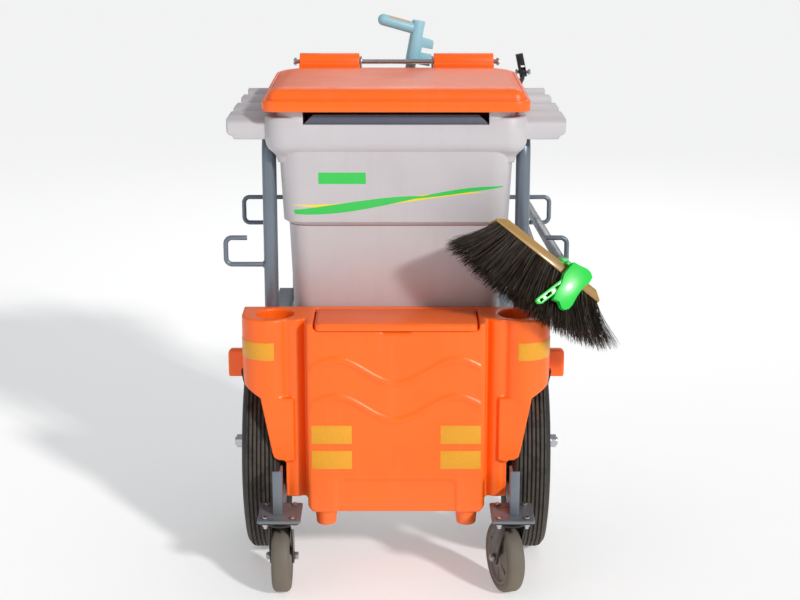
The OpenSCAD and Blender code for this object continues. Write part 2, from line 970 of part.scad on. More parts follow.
// Reflective strips: two pairs on the front panel and one round each column
module reflective_tapes() {
    t = 0.6;
    tape_z = (foot_z + box_top) / 2 - 23.5;
    color(TAPE) to_origin() {
        for (side = [-1, 1], z = [361, 302])
            on_side(side)
                front_profile(-panel_y - t, -panel_y - weld_gap)
                    translate([98, z - 21]) square([panel_half - 108, 42]);
        for (side = [-1, 1])
            on_side(side)
                intersection() {
                    translate([column_x, -column_y, tape_z])
                        difference() {
                            cylinder(r = column_r + t, h = 40, $fn = 72);
                            translate([0, 0, -1]) cylinder(r = column_r + weld_gap, h = 42, $fn = 72);
                        }
                    translate([column_x - 14, -column_y - column_r - 2, tape_z - 4])
                        cube([column_r + 20, column_r + 1.8, 60]);
                }
    }
}

// Bin

bin_step = 807;
wing_bottom = 998;
wing_top = 1049;
wing_valley = rail_z + tube_d / 2 + rest_gap + bin_wall;
wing_front = 150;
wing_rear = 342;
wing_length = wing_front + wing_rear;
wing_taper = 18;
wing_scallop = 8;
wing_round = 22;
// Where the creases between the humps lie along a wing
wing_creases = [0, 0.25, 0.52, 0.8, 1];
// Points along a wing: part of its length, and fullness from 0 in a crease to 1 on a hump
wing_points = [
    for (k = [0:3], j = [0:12])
        let (u = (1 - cos(15 * j)) / 2)
        if (j > 0 || k == 0)
            [wing_creases[k] + (wing_creases[k + 1] - wing_creases[k]) * u, sqrt(abs(sin(180 * u)))]
];
rail_in = tube_x - tube_d / 2;

// One level of the bin's body: a rounded rectangle of small height
module bin_slab(half, front, rear, z, in) {
    translate([0, 0, z])
        linear_extrude(0.5)
            rounded_rect(in - half, half - in, in - front, rear - in, 48 - in);
}

// The bin's body as an outer solid, or its inside when in is the wall
module bin_form(in) {
    hull() {
        bin_slab(222, 84, 312, bin_bottom + in, in, $fn = 32);
        bin_slab(239, 147, 330, bin_step - 1, in, $fn = 32);
    }
    hull() {
        bin_slab(239, 147, 330, bin_step - 1.5, in, $fn = 32);
        bin_slab(bin_half - 12, 158, 337, bin_step + 8, in, $fn = 32);
    }
    hull() {
        bin_slab(bin_half - 12, 158, 337, bin_step + 7.5, in, $fn = 32);
        bin_slab(bin_half, 182, 345, bin_top - 0.5 + (in > 0 ? 1 : 0), in, $fn = 32);
    }
}

// Outline of a wing from the side: a row of humps
module wing_side(drop) {
    polygon(concat(
        [[-wing_front, wing_bottom - 1]],
        [for (p = wing_points)
            [p[0] * wing_length - wing_front, wing_valley - drop + (wing_top - wing_valley) * p[1]]],
        [[wing_rear, wing_bottom - 1]]
    ));
}

// Outline of a wing from above: narrower to the back, with a scallop at each crease
module wing_plan(in) {
    polygon(concat(
        [[bin_half - 12, -wing_front]],
        [for (p = wing_points)
            [wing_half - in - wing_taper * p[0] - wing_scallop * (1 - p[1]),
                p[0] * wing_length - wing_front]],
        [[bin_half - 12, wing_rear]]
    ));
}

// Outline of a wing from the front, with its outer edge rounded
module wing_front_view(in) {
    r = wing_round;
    x = wing_half - in - r;
    top = wing_top - in;
    low = wing_bottom - (in > 0 ? 2 : 0);
    polygon(concat(
        [[bin_half - 12, low], [x + (in > 0 ? r : 0), low]],
        [for (a = [-75:15:75]) [x + r * cos(a), max(low, top - r + r * sin(a))]],
        [[x, top], [bin_half - 12, top]]
    ));
}

module wing(side) {
    on_side(side)
        difference() {
            intersection() {
                side_profile(bin_half - 12, wing_half) wing_side(0);
                front_profile(-wing_front, wing_rear) wing_front_view(0);
                translate([0, 0, wing_bottom])
                    linear_extrude(80)
                        wing_plan(0);
            }
            intersection() {
                side_profile(bin_half, wing_half) wing_side(bin_wall);
                front_profile(bin_wall - wing_front, wing_rear + 1) wing_front_view(bin_wall);
                translate([0, 0, wing_bottom - 2])
                    linear_extrude(80)
                        wing_plan(bin_wall);
            }
        }
}

// Collar round the bin's front, flaring from its narrower body up to the wings
module bin_collar(in) {
    r = 48;
    out = bin_half + 25 - r;
    front = 181 - r;
    end = -box_rear - 2 - in;
    low = in * 0.7;
    profile = [
        [0, 946 + low], [20 - in, 946 + low], [22 - in, 952 + low], [25.5 - in, 961 + low],
        [32 - in, 968 + low], [41 - in, 976 + low], [46 - in, 986 + low], [r - in, 997 + low],
        [r - in, wing_top - 5 - in], [r - 3 - in, wing_top - in], [0, wing_top - in]
    ];
    side_profile(-out, out)
        polygon([for (p = profile) [-front - p[0], p[1]]]);
    for (side = [-1, 1])
        on_side(side) {
            translate([out, -front, 0])
                rotate([0, 0, -90])
                    rotate_extrude(angle = 90) polygon(profile);
            front_profile(-front, end)
                polygon([for (p = profile) [out + p[0], p[1]]]);
        }
}

module bin_shell() {
    notch_half = 201;
    color(BIN_GREY) to_origin()
        difference() {
            union() {
                bin_form(0);
                for (side = [-1, 1]) wing(side);
                bin_collar(0);
            }
            bin_form(bin_wall);
            bin_collar(bin_wall);
            // Hand notch in the front of the rim
            translate([-notch_half, -200, 1035])
                cube([2 * notch_half, 40, 100]);
        }
}

// Dark bar across the notch that holds the edge of the sack
module sack_bar() {
    half = 200.5;
    color(SLATE) to_origin()
        translate([0, -166, 1035 + rest_gap])
            rotate([90, 0, 0])
                linear_extrude(11)
                    polygon([[-half, 0], [half, 0], [half - 22, 21], [22 - half, 21]]);
}

// Back of the bin at a height above the step
function bin_back(z) = weld_gap + 337 + 8 * (z - bin_step - 8) / (bin_top - bin_step - 8);

// Steel brackets on the bin's back that hold the hinge rod
module hinge_brackets() {
    t = 5;
    x0 = barrel_in - t - 1;
    low = rail_z + tube_d / 2 + 8;
    color(ZINC) to_origin()
        for (side = [-1, 1])
            on_side(side)
                difference() {
                    side_profile(x0, x0 + t) {
                        polygon([
                            [bin_back(low), low], [bin_back(low + 29), low + 29],
                            [hinge_y - 14, low + 29], [hinge_y - 14, hinge_z],
                            [hinge_y + 14, hinge_z], [hinge_y + 14, low + 34], [hinge_y - 12, low]
                        ]);
                        translate([hinge_y, hinge_z]) circle(r = 14);
                    }
                    translate([x0 - 1, hinge_y, hinge_z])
                        rotate([0, 90, 0])
                            cylinder(d = rod_d + 2 * run_gap, h = t + 2);
                }
}

// Hinge rod with a nut at each end
module hinge_rod() {
    end = 247;
    color(ZINC) to_origin()
        translate([0, hinge_y, hinge_z])
            rotate([0, 90, 0]) {
                translate([0, 0, -end - 8]) cylinder(d = rod_d, h = 2 * end + 16);
                for (z = [-end - 6, end]) translate([0, 0, z]) cylinder(d = 19, h = 6, $fn = 6);
            }
}

// Thin level of the lid's crown, lower at the back by lid_slope
module lid_level(in, z, slope) {
    k = slope / (lid_front + lid_rear);
    multmatrix([[1, 0, 0, 0], [0, 1, 0, 0], [0, -k, 1, z - k * lid_front], [0, 0, 0, 1]])
        linear_extrude(0.5) lid_plan(in, $fn = 24);
}

// Lid: lip, sloping crown, and two bored barrels on its back edge
module bin_lid() {
    lip_top = lid_bottom + lid_rim_h;
    barrel_out = 239;
    color(ORANGE) to_origin()
        difference() {
            union() {
                translate([0, 0, lid_bottom])
                    linear_extrude(lid_rim_h) lid_plan(0);
                hull() {
                    lid_level(9, lip_top - 1, 0);
                    lid_level(13, lip_top + 6, 2);
                    lid_level(30, lip_top + lid_crown - 5, lid_slope);
                    lid_level(42, lip_top + lid_crown - 0.5, lid_slope);
                }
                for (side = [-1, 1])
                    on_side(side) {
                        translate([barrel_in, hinge_y, hinge_z])
                            rotate([0, 90, 0])
                                cylinder(d = barrel_d, h = barrel_out - barrel_in);
                        translate([barrel_in, lid_rear - 24, lip_top - lid_wall])
                            cube([
                                barrel_out - barrel_in,
                                hinge_y - lid_rear + 24,
                                hinge_z - lip_top + lid_wall
                            ]);
                    }
            }
            translate([0, 0, lid_bottom - 1])
                linear_extrude(lid_rim_h - lid_wall + 1) lid_plan(lid_wall);
            hull() {
                lid_level(25, lip_top - lid_wall - 1, 0);
                lid_level(40, lip_top + lid_crown - lid_wall - 5, lid_slope);
                lid_level(50, lip_top + lid_crown - lid_wall - 0.5, lid_slope);
            }
            for (side = [-1, 1])
                on_side(side)
                    translate([barrel_in - 1, hinge_y, hinge_z])
                        rotate([0, 90, 0])
                            cylinder(d = rod_d + 2 * run_gap, h = barrel_out - barrel_in + 2);
        }
}

// Outline of the lid from above, drawn in by a distance
module lid_plan(in) {
    back_r = 92 - in;
    front_r = 34;
    offset(r = max(4, front_r - in))
        offset(delta = -max(4, front_r - in))
            union() {
                translate([in - lid_half, in - lid_front])
                    square([2 * (lid_half - in), lid_front + lid_rear - 92 - in]);
                translate([92 - lid_half, in - lid_front])
                    square([2 * lid_half - 184, lid_front + lid_rear - 2 * in]);
                for (side = [-1, 1])
                    translate([side * (lid_half - 92), lid_rear - 92]) circle(r = back_r, $fn = 64);
            }
}

// Clip for a hand tool on the right rail

clip_y = 425;
clip_x = tube_x + 34;
clip_z = rail_z + 62;

module clip_post() {
    color(BLACK) to_origin()
        difference() {
            union() {
                translate([tube_x, clip_y - 15, rail_z])
                    rotate([-90, 0, 0])
                        cylinder(d = tube_d + 10, h = 30);
                bar([tube_x + 10, clip_y, rail_z + 8], [clip_x, clip_y, clip_z], 24);
                translate([clip_x - 5, clip_y, clip_z])
                    rotate([0, 90, 0])
                        cylinder(d = 24, h = 10);
            }
            translate([tube_x, clip_y - 16, rail_z])
                rotate([-90, 0, 0])
                    cylinder(d = tube_d + 2 * run_gap, h = 32);
            translate([clip_x - 6, clip_y, clip_z])
                rotate([0, 90, 0])
                    cylinder(d = 8 + 2 * run_gap, h = 12);
            for (sx = [-1, 1])
                translate([clip_x + sx * 5 - (sx < 0 ? 20 : 0), clip_y - 20, clip_z - 17])
                    cube([20, 40, 44]);
        }
}

module clip_bolt() {
    color(ZINC) to_origin()
        translate([clip_x, clip_y, clip_z])
            rotate([0, 90, 0]) {
                translate([0, 0, -18]) cylinder(d = 8, h = 38);
                translate([0, 0, -17.5]) cylinder(d = 14, h = 4.2, $fn = 6);
                translate([0, 0, 13.3]) cylinder(d = 14, h = 6, $fn = 6);
            }
}

// Head of the clip: two cheeks on the bolt and a rounded cap
module clip_head() {
    color(BLACK) to_origin()
        difference() {
            translate([clip_x, clip_y, clip_z])
                rotate([0, -12, 0]) {
                    hull()
                        for (z = [0, 34])
                            translate([-9, 0, z])
                                rotate([0, 90, 0])
                                    cylinder(r = 13, h = 18, $fn = 32);
                }
            translate([clip_x - 5.3, clip_y - 30, clip_z - 30])
                cube([10.6, 60, 48]);
            translate([clip_x - 30, clip_y, clip_z])
                rotate([0, 90, 0])
                    cylinder(d = 8 + 2 * run_gap, h = 60);
            for (sx = [-1, 1])
                translate([clip_x + sx * 13 - (sx < 0 ? 30 : 0), clip_y - 30, clip_z - 30])
                    cube([30, 60, 48]);
        }
}

// Broom stored through the right-hand hooks

head_at = [318, -236, 740];
head_turn = 39;
head_tilt = 28;
pole_dx = 0.044;
pole_front_x = 363;
rod_x = tube_x + 39;
rest_front_z = hook_low_z + hook_d / 2 + rest_gap;
hook_span = upright_y + hook_rear_y;
pole_rear_dir = unit([-pole_dx * hook_span, hook_span, -hook_rear_drop]);
pole_front = [pole_front_x, -upright_y, rest_front_z + broom_pole_d / 2]
    - pole_rear_dir * 103;

block_h = 20;
slice_h = 2;

module in_head() {
    translate(head_at)
        rotate([0, head_turn, 0])
            rotate([-head_tilt, 0, 0]) children();
}

// Hollow pole along Z with a rounded far end
module pole(len, d, wall) {
    n = 8;
    rotate_extrude()
        polygon(concat(
            [[d / 2 - wall, 0], [d / 2, 0]],
            [for (i = [0:n]) [d / 2 * cos(i * 90 / n), len + d / 2 * sin(i * 90 / n)]],
            [[0, len - 10], [d / 2 - wall, len - 10]]
        ));
}

module broom_pole() {
    dir = pole_rear_dir;
    color(STEEL_GREY) to_origin()
        translate(pole_front + dir * 4)
            rotate([0, acos(dir[2]), atan2(dir[1], dir[0])])
                pole(broom_pole_l - 4, broom_pole_d, 1.5);
}

module broom_block() {
    h = block_h;
    cut = 14;
    color(WOOD) to_origin()
        in_head()
            translate([0, block_w / 2, 0])
                rotate([90, 0, 0])
                    linear_extrude(block_w)
                        polygon([
                            [-block_l / 2, 0], [block_l / 2, 0], [block_l / 2, h - cut],
                            [block_l / 2 - 20, h], [20 - block_l / 2, h], [-block_l / 2, h - cut]
                        ]);
}

// Where a strand leaves the block and where its tip ends, in the head's own axes
function strand_root(i, j) = [
    (i / (bristle_cols - 1) - 0.5) * (block_l - 12),
    (j / (bristle_rows - 1) - 0.5) * (block_w - 10),
    0
];
function strand_tip(i, j) =
    let (u = 2 * i / (bristle_cols - 1) - 1,
         v = 2 * j / (bristle_rows - 1) - 1,
         len = bristle_l - 5 + 5 * sin(i * 53 + j * 97),
         dx = len * (0.19 + 0.66 * u) + 1.2 * sin(i * 71 + j * 31),
         dy = 14 * v,
         dz = sqrt(max(100, len * len - dx * dx - dy * dy)))
    strand_root(i, j) + [dx, dy, -dz];

// Points of one three-sided strand: root, bend and tip rings
function strand_ring(c, r) = [for (k = [0:2]) c + [r * cos(k * 120), r * sin(k * 120), 0]];
function strand_points(i, j) =
    let (a = strand_root(i, j) + [0, 0, 1.5],
         b = strand_tip(i, j),
         m = (a + b) / 2 + [(b - a)[0] * -0.12, (b - a)[1] * -0.12, 0])
    concat(strand_ring(a, 1.7), strand_ring(m, 1.5), strand_ring(b, 0.9));
strand_faces = [
    [0, 2, 1], [6, 7, 8],
    [0, 1, 3], [1, 4, 3], [1, 2, 4], [2, 5, 4], [2, 0, 5], [0, 3, 5],
    [3, 4, 6], [4, 7, 6], [4, 5, 7], [5, 8, 7], [5, 3, 8], [3, 6, 8]
];

module broom_bristles() {
    n = bristle_cols * bristle_rows;
    color(BRISTLE) to_origin()
        in_head() {
            translate([3 - block_l / 2, 3 - block_w / 2, -slice_h])
                cube([block_l - 6, block_w - 6, slice_h]);
            translate([0, 0, -slice_h])
                polyhedron(
                    points = [for (k = [0:n - 1])
                        each strand_points(k % bristle_cols, floor(k / bristle_cols))],
                    faces = [for (k = [0:n - 1], f = strand_faces) [for (p = f) p + 9 * k]]
                );
        }
}

// Moulded clamp: a socket for the pole, a saddle over the block, and a channel
// that reaches down in front of the bristles and carries a slotted lever
arm_back = -block_w / 2 - 12;
arm_t = 3;
arm_d = 15;
lever_at = [54, -8];
lever_rest = 17;
lever_l = 92;

module clamp_outline() {
    polygon([
        [40, 6], [42, 27], [58, 30], [74, 34], [86, 33], [95, 26], [96, 12], [91, -2],
        [90, -28], [92, -52], [90, -64], [84, -71], [76, -72], [64, -64], [50, -68], [46, -50],
        [45, -27], [39, -8]
    ]);
}

// Places an outline drawn along the block and the bristles, from y0 to y1
module head_profile(y0, y1) {
    translate([0, y1, 0])
        rotate([90, 0, 0])
            linear_extrude(y1 - y0)
                children();
}

module broom_clamp() {
    sleeve_d = broom_pole_d + 9;
    dir = pole_rear_dir;
    color(GREEN) to_origin()
        difference() {
            union() {
                difference() {
                    bar(pole_front - dir * 8, pole_front + dir * 34, sleeve_d);
                    in_head()
                        translate([-100, -100, block_h - 100])
                            cube([300, 200, 100]);
                }
                in_head() {
                    translate([34, arm_back, block_h])
                        cube([34, 62, 8]);
                    head_profile(arm_back - arm_t, arm_back) clamp_outline();
                    head_profile(arm_back - arm_d, arm_back - arm_d + arm_t) clamp_outline();
                    head_profile(arm_back - arm_d, arm_back)
                        difference() {
                            clamp_outline();
                            translate([-30, -76]) square([112, 102]);
                        }
                    translate([lever_at[0], arm_back, lever_at[1]])
                        rotate([90, 0, 0])
                            cylinder(d = 6, h = arm_d);
                }
            }
            bar(pole_front, pole_front + dir * 40, broom_pole_d + 2 * pin_gap);
        }
}

// Slotted lever that swings out of the clamp's channel on a moulded pin
module broom_clamp_lever() {
    y1 = arm_back - arm_t - rest_gap;
    y0 = arm_back - arm_d + arm_t + rest_gap;
    color(GREEN) to_origin()
        in_head()
            head_profile(y0, y1)
                translate(lever_at)
                    rotate(-lever_rest)
                        difference() {
                            polygon(concat(
                                [for (a = [0:15:180]) [8.5 * cos(a), 8.5 * sin(a)]],
                                [
                                    [-9, 5 - lever_l], [-7, -lever_l],
                                    [2, -lever_l], [7, 8 - lever_l]
                                ]
                            ));
                            circle(d = 6 + 2 * pin_gap);
                            translate([-3, -38]) square([6, 14]);
                            translate([-3, -66]) square([6, 14]);
                            translate([-3, -84]) square([6, 8]);
                        }
}

module litter_rod() {
    d = 11;
    a = [rod_x, -upright_y, rest_front_z + d / 2];
    b = [rod_x, hook_rear_y, rest_front_z + d / 2 - hook_rear_drop];
    dir = unit(b - a);
    color(ZINC) to_origin()
        bar(a - dir * 55, b + dir * 70, d);
}

// Upright tool behind the bin: pole, moulded grip and clip plate

tool_tilt = 10.4;
tool_y = 432;
grip_at = [46, tool_y, 1145];
tool_dir = [sin(tool_tilt), 0, cos(tool_tilt)];
tool_foot = grip_at - tool_dir * ((grip_at[2] - base_bottom - 12) / cos(tool_tilt));

module handled_tool_pole() {
    color(STEEL_GREY) to_origin()
        bar(tool_foot, grip_at + tool_dir * 40, tool_pole_d);
}

module tool_grip() {
    color(SKY) to_origin()
        translate(grip_at)
            rotate([0, tool_tilt, 0])
                difference() {
                    union() {
                        translate([0, 0, -52]) cylinder(d = 32, h = 106);
                        translate([-10, 0, 34])
                            rotate([0, -85, 0])
                                union() {
                                    cylinder(d = 29, h = 77);
                                    translate([0, 0, 77]) sphere(d = 29);
                                }
                        translate([0, 4, 0])
                            rotate([90, 0, 0])
                                linear_extrude(8)
                                    difference() {
                                        polygon([[0, 18], [43, 13], [46, 6], [46, -52], [0, -52]]);
                                        translate([19, -22]) square([40, 13]);
                                    }
                    }
                    translate([0, 0, -53]) cylinder(d = tool_pole_d + 2 * pin_gap, h = 93.5);
                }
}

module tool_cup() {
    color(STEEL_GREY) to_origin()
        difference() {
            union() {
                bar(tool_foot - tool_dir * 6, tool_foot + tool_dir * 60, tool_pole_d + 10);
                translate([tool_foot[0] - 20, leg_y + 20, base_bottom])
                    cube([40, tool_y - leg_y - 20, base_top - base_bottom]);
            }
            bar(tool_foot - tool_dir * rest_gap, tool_foot + tool_dir * 70, tool_pole_d + 2);
        }
}

side_frame_left();
side_frame_right();
push_handle();
rear_cross_tube();
rear_leg_left();
rear_leg_right();
base_rail_left();
base_rail_right();
axle_plate_left();
axle_plate_right();
top_beam_left();
top_beam_right();
front_cross_beam();
rear_cross_beam();
caster_plates();
front_hook_left();
front_hook_right();
rear_hook_left();
rear_hook_right();
main_axle();
axle_nuts();
wheel_left();
wheel_right();
tyre_left();
tyre_right();
wheel_bearings_left();
wheel_bearings_right();
caster_top_left();
caster_top_right();
caster_bolts();
caster_fork_left();
caster_fork_right();
caster_axle_left();
caster_axle_right();
caster_wheel_left();
caster_wheel_right();
caster_tyre_left();
caster_tyre_right();
tool_box();
box_straps();
tool_box_lid();
tool_box_hinge_pin();
reflective_tapes();
bin_shell();
sack_bar();
hinge_brackets();
hinge_rod();
bin_lid();
clip_post();
clip_bolt();
clip_head();
broom_pole();
broom_block();
broom_bristles();
broom_clamp();
broom_clamp_lever();
litter_rod();
handled_tool_pole();
tool_grip();
tool_cup();
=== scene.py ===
import json
import logging
import math
from dataclasses import dataclass, field
from enum import Enum
from functools import partial
from typing import Callable, Iterable, Sequence

import bmesh
import bpy
from mathutils import Matrix, Vector

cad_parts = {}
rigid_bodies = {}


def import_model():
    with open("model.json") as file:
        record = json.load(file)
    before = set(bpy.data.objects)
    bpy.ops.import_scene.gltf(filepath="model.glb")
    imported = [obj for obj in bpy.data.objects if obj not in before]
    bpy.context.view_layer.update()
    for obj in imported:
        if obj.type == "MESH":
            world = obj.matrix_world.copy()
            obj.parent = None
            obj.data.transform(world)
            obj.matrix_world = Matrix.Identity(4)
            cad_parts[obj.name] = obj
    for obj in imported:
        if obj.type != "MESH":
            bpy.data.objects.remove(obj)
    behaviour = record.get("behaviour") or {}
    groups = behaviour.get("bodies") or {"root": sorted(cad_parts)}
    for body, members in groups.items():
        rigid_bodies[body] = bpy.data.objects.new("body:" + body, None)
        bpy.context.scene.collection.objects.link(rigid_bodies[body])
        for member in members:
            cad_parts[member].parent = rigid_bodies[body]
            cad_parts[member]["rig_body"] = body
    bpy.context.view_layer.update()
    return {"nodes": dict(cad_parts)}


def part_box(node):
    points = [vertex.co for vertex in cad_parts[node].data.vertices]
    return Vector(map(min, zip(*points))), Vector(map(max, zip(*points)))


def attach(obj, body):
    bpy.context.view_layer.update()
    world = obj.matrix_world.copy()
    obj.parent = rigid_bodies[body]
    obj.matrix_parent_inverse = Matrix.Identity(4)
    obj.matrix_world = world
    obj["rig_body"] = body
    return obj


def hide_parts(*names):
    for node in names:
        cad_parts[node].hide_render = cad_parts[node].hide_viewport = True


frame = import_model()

LOG = logging.getLogger("cart")

# The cart's own axes start on the ground under the main axle. These two move
# a point from there to the middle of the cart's footprint.
SHIFT_X = 43.05
SHIFT_Y = 76.5

Colour = tuple[float, float, float]
Point = tuple[float, float, float]
Socket = bpy.types.NodeSocket


def at(x: float, y: float, z: float) -> Vector:
    """Gives a point of the cart, in millimetres from under the axle, in the scene's metres."""
    return Vector((x - SHIFT_X, y - SHIFT_Y, z)) / 1000.0


def srgb(red: int, green: int, blue: int) -> Colour:
    """Turns a colour as it looks on a screen, 0 to 255, into the scene's linear values."""
    def linear(part: int) -> float:
        """Gives one channel's linear value."""
        level = part / 255.0
        return level / 12.92 if level <= 0.04045 else ((level + 0.055) / 1.055) ** 2.4
    return linear(red), linear(green), linear(blue)


class Slot(Enum):
    """The record's material slots, one named by each finish."""

    FRAME = "frame_steel"
    BRIGHT = "bright_steel"
    BLACK = "black_steel"
    ORANGE = "orange_plastic"
    GREY = "grey_plastic"
    DARK = "dark_plastic"
    TYRE = "tyre_rubber"
    CASTER = "caster_rubber"
    HUB = "hub_plastic"
    FILM = "reflective_film"
    POLE = "pole_metal"
    GREEN = "green_plastic"
    WOOD = "block_wood"
    FIBRE = "bristle_fibre"
    BLUE = "blue_plastic"


# ---------------------------------------------------------------- shader groups


class TreeMaker:
    """Adds nodes and links to a node tree by short calls."""

    def __init__(self, tree: bpy.types.NodeTree) -> None:
        """Takes the tree that the nodes go into."""
        self.tree = tree

    def node(self, kind: str, **settings: object) -> bpy.types.Node:
        """Adds a node with some of its settings.

        Args:
            kind: The node's type, which may leave out the prefix ShaderNode.
            settings: Properties of the node by name.

        Returns:
            The new node.
        """
        made = self.tree.nodes.new(kind if "Node" in kind else "ShaderNode" + kind)
        for key, value in settings.items():
            setattr(made, key, value)
        return made

    def join(self, source: Socket, target: Socket) -> None:
        """Links an output to an input."""
        self.tree.links.new(source, target)

    def fill(self, node: bpy.types.Node, values: Iterable[object]) -> None:
        """Gives a node's first inputs their sockets or numbers.

        Args:
            node: The node.
            values: A socket, a number or None for each input.
        """
        for place, value in enumerate(values):
            if isinstance(value, Socket):
                self.join(value, node.inputs[place])
            elif value is not None:
                node.inputs[place].default_value = value

    def maths(self, operation: str, first: object, second: object = None, clamp: bool = False) -> Socket:
        """Adds a maths node.

        Args:
            operation: Its operation's name.
            first: A socket or a number.
            second: A socket or a number, where the operation takes two.
            clamp: Whether the result stays between 0 and 1.

        Returns:
            The socket with the result.
        """
        made = self.node("Math", operation=operation, use_clamp=clamp)
        self.fill(made, (first, second))
        return made.outputs[0]

    def parts(self, vector: Socket) -> Sequence[Socket]:
        """Adds a node that splits a vector.

        Args:
            vector: The socket with the vector.

        Returns:
            The sockets of its X, Y and Z.
        """
        made = self.node("SeparateXYZ")
        self.join(vector, made.inputs[0])
        return made.outputs

    def noise(self, vector: object, scale: object, detail: float = 3.0, rough: float = 0.55) -> Socket:
        """Adds a noise texture and gives its value's socket.

        Args:
            vector: The socket with the coordinates.
            scale: A socket or a number.
            detail: How many finer layers it has.
            rough: How strong the finer layers are.

        Returns:
            The socket with the noise, 0 to 1.
        """
        made = self.node("TexNoise")
        made.inputs["Detail"].default_value = detail
        made.inputs["Roughness"].default_value = rough
        self.join(vector, made.inputs["Vector"])
        if isinstance(scale, Socket):
            self.join(scale, made.inputs["Scale"])
        else:
            made.inputs["Scale"].default_value = scale
        return made.outputs["Fac"]

    def ramp(self, value: Socket, low: object, high: object) -> Socket:
        """Stretches a value so that low gives 0 and high gives 1, smoothly.

        Args:
            value: The socket to stretch.
            low: A socket or a number.
            high: A socket or a number.

        Returns:
            The socket with the result.
        """
        made = self.node("MapRange", interpolation_type="SMOOTHSTEP")
        self.join(value, made.inputs["Value"])
        for name, end in (("From Min", low), ("From Max", high)):
            if isinstance(end, Socket):
                self.join(end, made.inputs[name])
            else:
                made.inputs[name].default_value = end
        return made.outputs["Result"]


class GroupMaker(TreeMaker):
    """Makes a shader node group with named inputs and outputs."""

    def __init__(self, name: str) -> None:
        """Starts an empty group.

        Args:
            name: What the group is called.
        """
        super().__init__(bpy.data.node_groups.new(name, "ShaderNodeTree"))
        self.enter = self.node("NodeGroupInput")
        self.leave = self.node("NodeGroupOutput")

    def takes(self, name: str, kind: str, value: float | None = None) -> None:
        """Adds a named input.

        Args:
            name: The input's name.
            kind: Float, Color or Vector.
            value: What it holds until a material sets it.
        """
        socket = self.tree.interface.new_socket(name=name, in_out="INPUT", socket_type="NodeSocket" + kind)
        if value is not None:
            socket.default_value = value

    def gives(self, name: str, kind: str) -> None:
        """Adds a named output of kind Float, Color or Vector."""
        self.tree.interface.new_socket(name=name, in_out="OUTPUT", socket_type="NodeSocket" + kind)


def weather_group() -> bpy.types.NodeTree:
    """Makes the group of soft patches, specks and rain streaks that every finish uses.

    Returns:
        The group, with outputs Patches, Specks, Streaks and Grain.
    """
    g = GroupMaker("Weather")
    g.takes("Vector", "Vector")
    g.takes("Patch Scale", "Float", 6.0)
    g.takes("Grain Scale", "Float", 900.0)
    for name in ("Patches", "Specks", "Streaks", "Grain"):
        g.gives(name, "Float")
    vector = g.enter.outputs["Vector"]
    patches = g.noise(vector, g.enter.outputs["Patch Scale"], 4.0, 0.6)
    g.join(g.ramp(patches, 0.3, 0.72), g.leave.inputs["Patches"])
    fine = g.noise(vector, g.maths("MULTIPLY", g.enter.outputs["Patch Scale"], 24.0), 2.0, 0.7)
    g.join(g.ramp(fine, 0.56, 0.74), g.leave.inputs["Specks"])
    tall = g.node("Mapping")
    tall.inputs["Scale"].default_value = (1.0, 1.0, 0.08)
    g.join(vector, tall.inputs["Vector"])
    narrow = g.maths("MULTIPLY", g.enter.outputs["Patch Scale"], 6.0)
    streaks = g.noise(tall.outputs["Vector"], narrow, 3.0, 0.6)
    g.join(g.ramp(streaks, 0.5, 0.75), g.leave.inputs["Streaks"])
    g.join(g.noise(vector, g.enter.outputs["Grain Scale"], 2.0, 0.6), g.leave.inputs["Grain"])
    return g.tree


def dust_group() -> bpy.types.NodeTree:
    """Makes the group that says where road dust lies: low down and on what faces up.

    Returns:
        The group, with the output Mask.
    """
    g = GroupMaker("Road dust")
    g.takes("Vector", "Vector")
    g.takes("Patches", "Float", 0.5)
    g.takes("Top", "Float", 0.4)
    g.takes("Amount", "Float", 0.5)
    g.takes("Upward", "Float", 0.3)
    g.gives("Mask", "Float")
    height = g.parts(g.enter.outputs["Vector"])["Z"]
    low = g.maths("SUBTRACT", 1.0, g.ramp(height, 0.0, g.enter.outputs["Top"]))
    facing = g.parts(g.node("NewGeometry").outputs["Normal"])["Z"]
    up = g.maths("MULTIPLY", g.ramp(facing, 0.3, 1.0), g.enter.outputs["Upward"])
    both = g.maths("MAXIMUM", low, up)
    broken = g.maths("MULTIPLY", both, g.maths("ADD", 0.35, g.enter.outputs["Patches"]))
    g.join(g.maths("MULTIPLY", broken, g.enter.outputs["Amount"], clamp=True), g.leave.inputs["Mask"])
    return g.tree


def edge_group() -> bpy.types.NodeTree:
    """Makes the group that finds outer edges, where a finish wears thin and where the wood's edges carry a
    painted highlight.

    Returns:
        The group, with the output Mask.
    """
    g = GroupMaker("Edge wear and light")
    g.takes("Radius", "Float", 0.002)
    g.takes("Patches", "Float", 0.5)
    g.takes("Amount", "Float", 0.5)
    g.gives("Mask", "Float")
    geometry = g.node("NewGeometry")
    round_off = g.node("Bevel", samples=4)
    g.join(g.enter.outputs["Radius"], round_off.inputs["Radius"])
    dot = g.node("VectorMath", operation="DOT_PRODUCT")
    g.join(geometry.outputs["Normal"], dot.inputs[0])
    g.join(round_off.outputs["Normal"], dot.inputs[1])
    edge = g.ramp(g.maths("SUBTRACT", 1.0, dot.outputs["Value"]), 0.01, 0.12)
    broken = g.maths("MULTIPLY", edge, g.enter.outputs["Patches"])
    g.join(g.maths("MULTIPLY", broken, g.enter.outputs["Amount"], clamp=True), g.leave.inputs["Mask"])
    return g.tree


WEATHER = weather_group()
DUST = dust_group()
EDGES = edge_group()


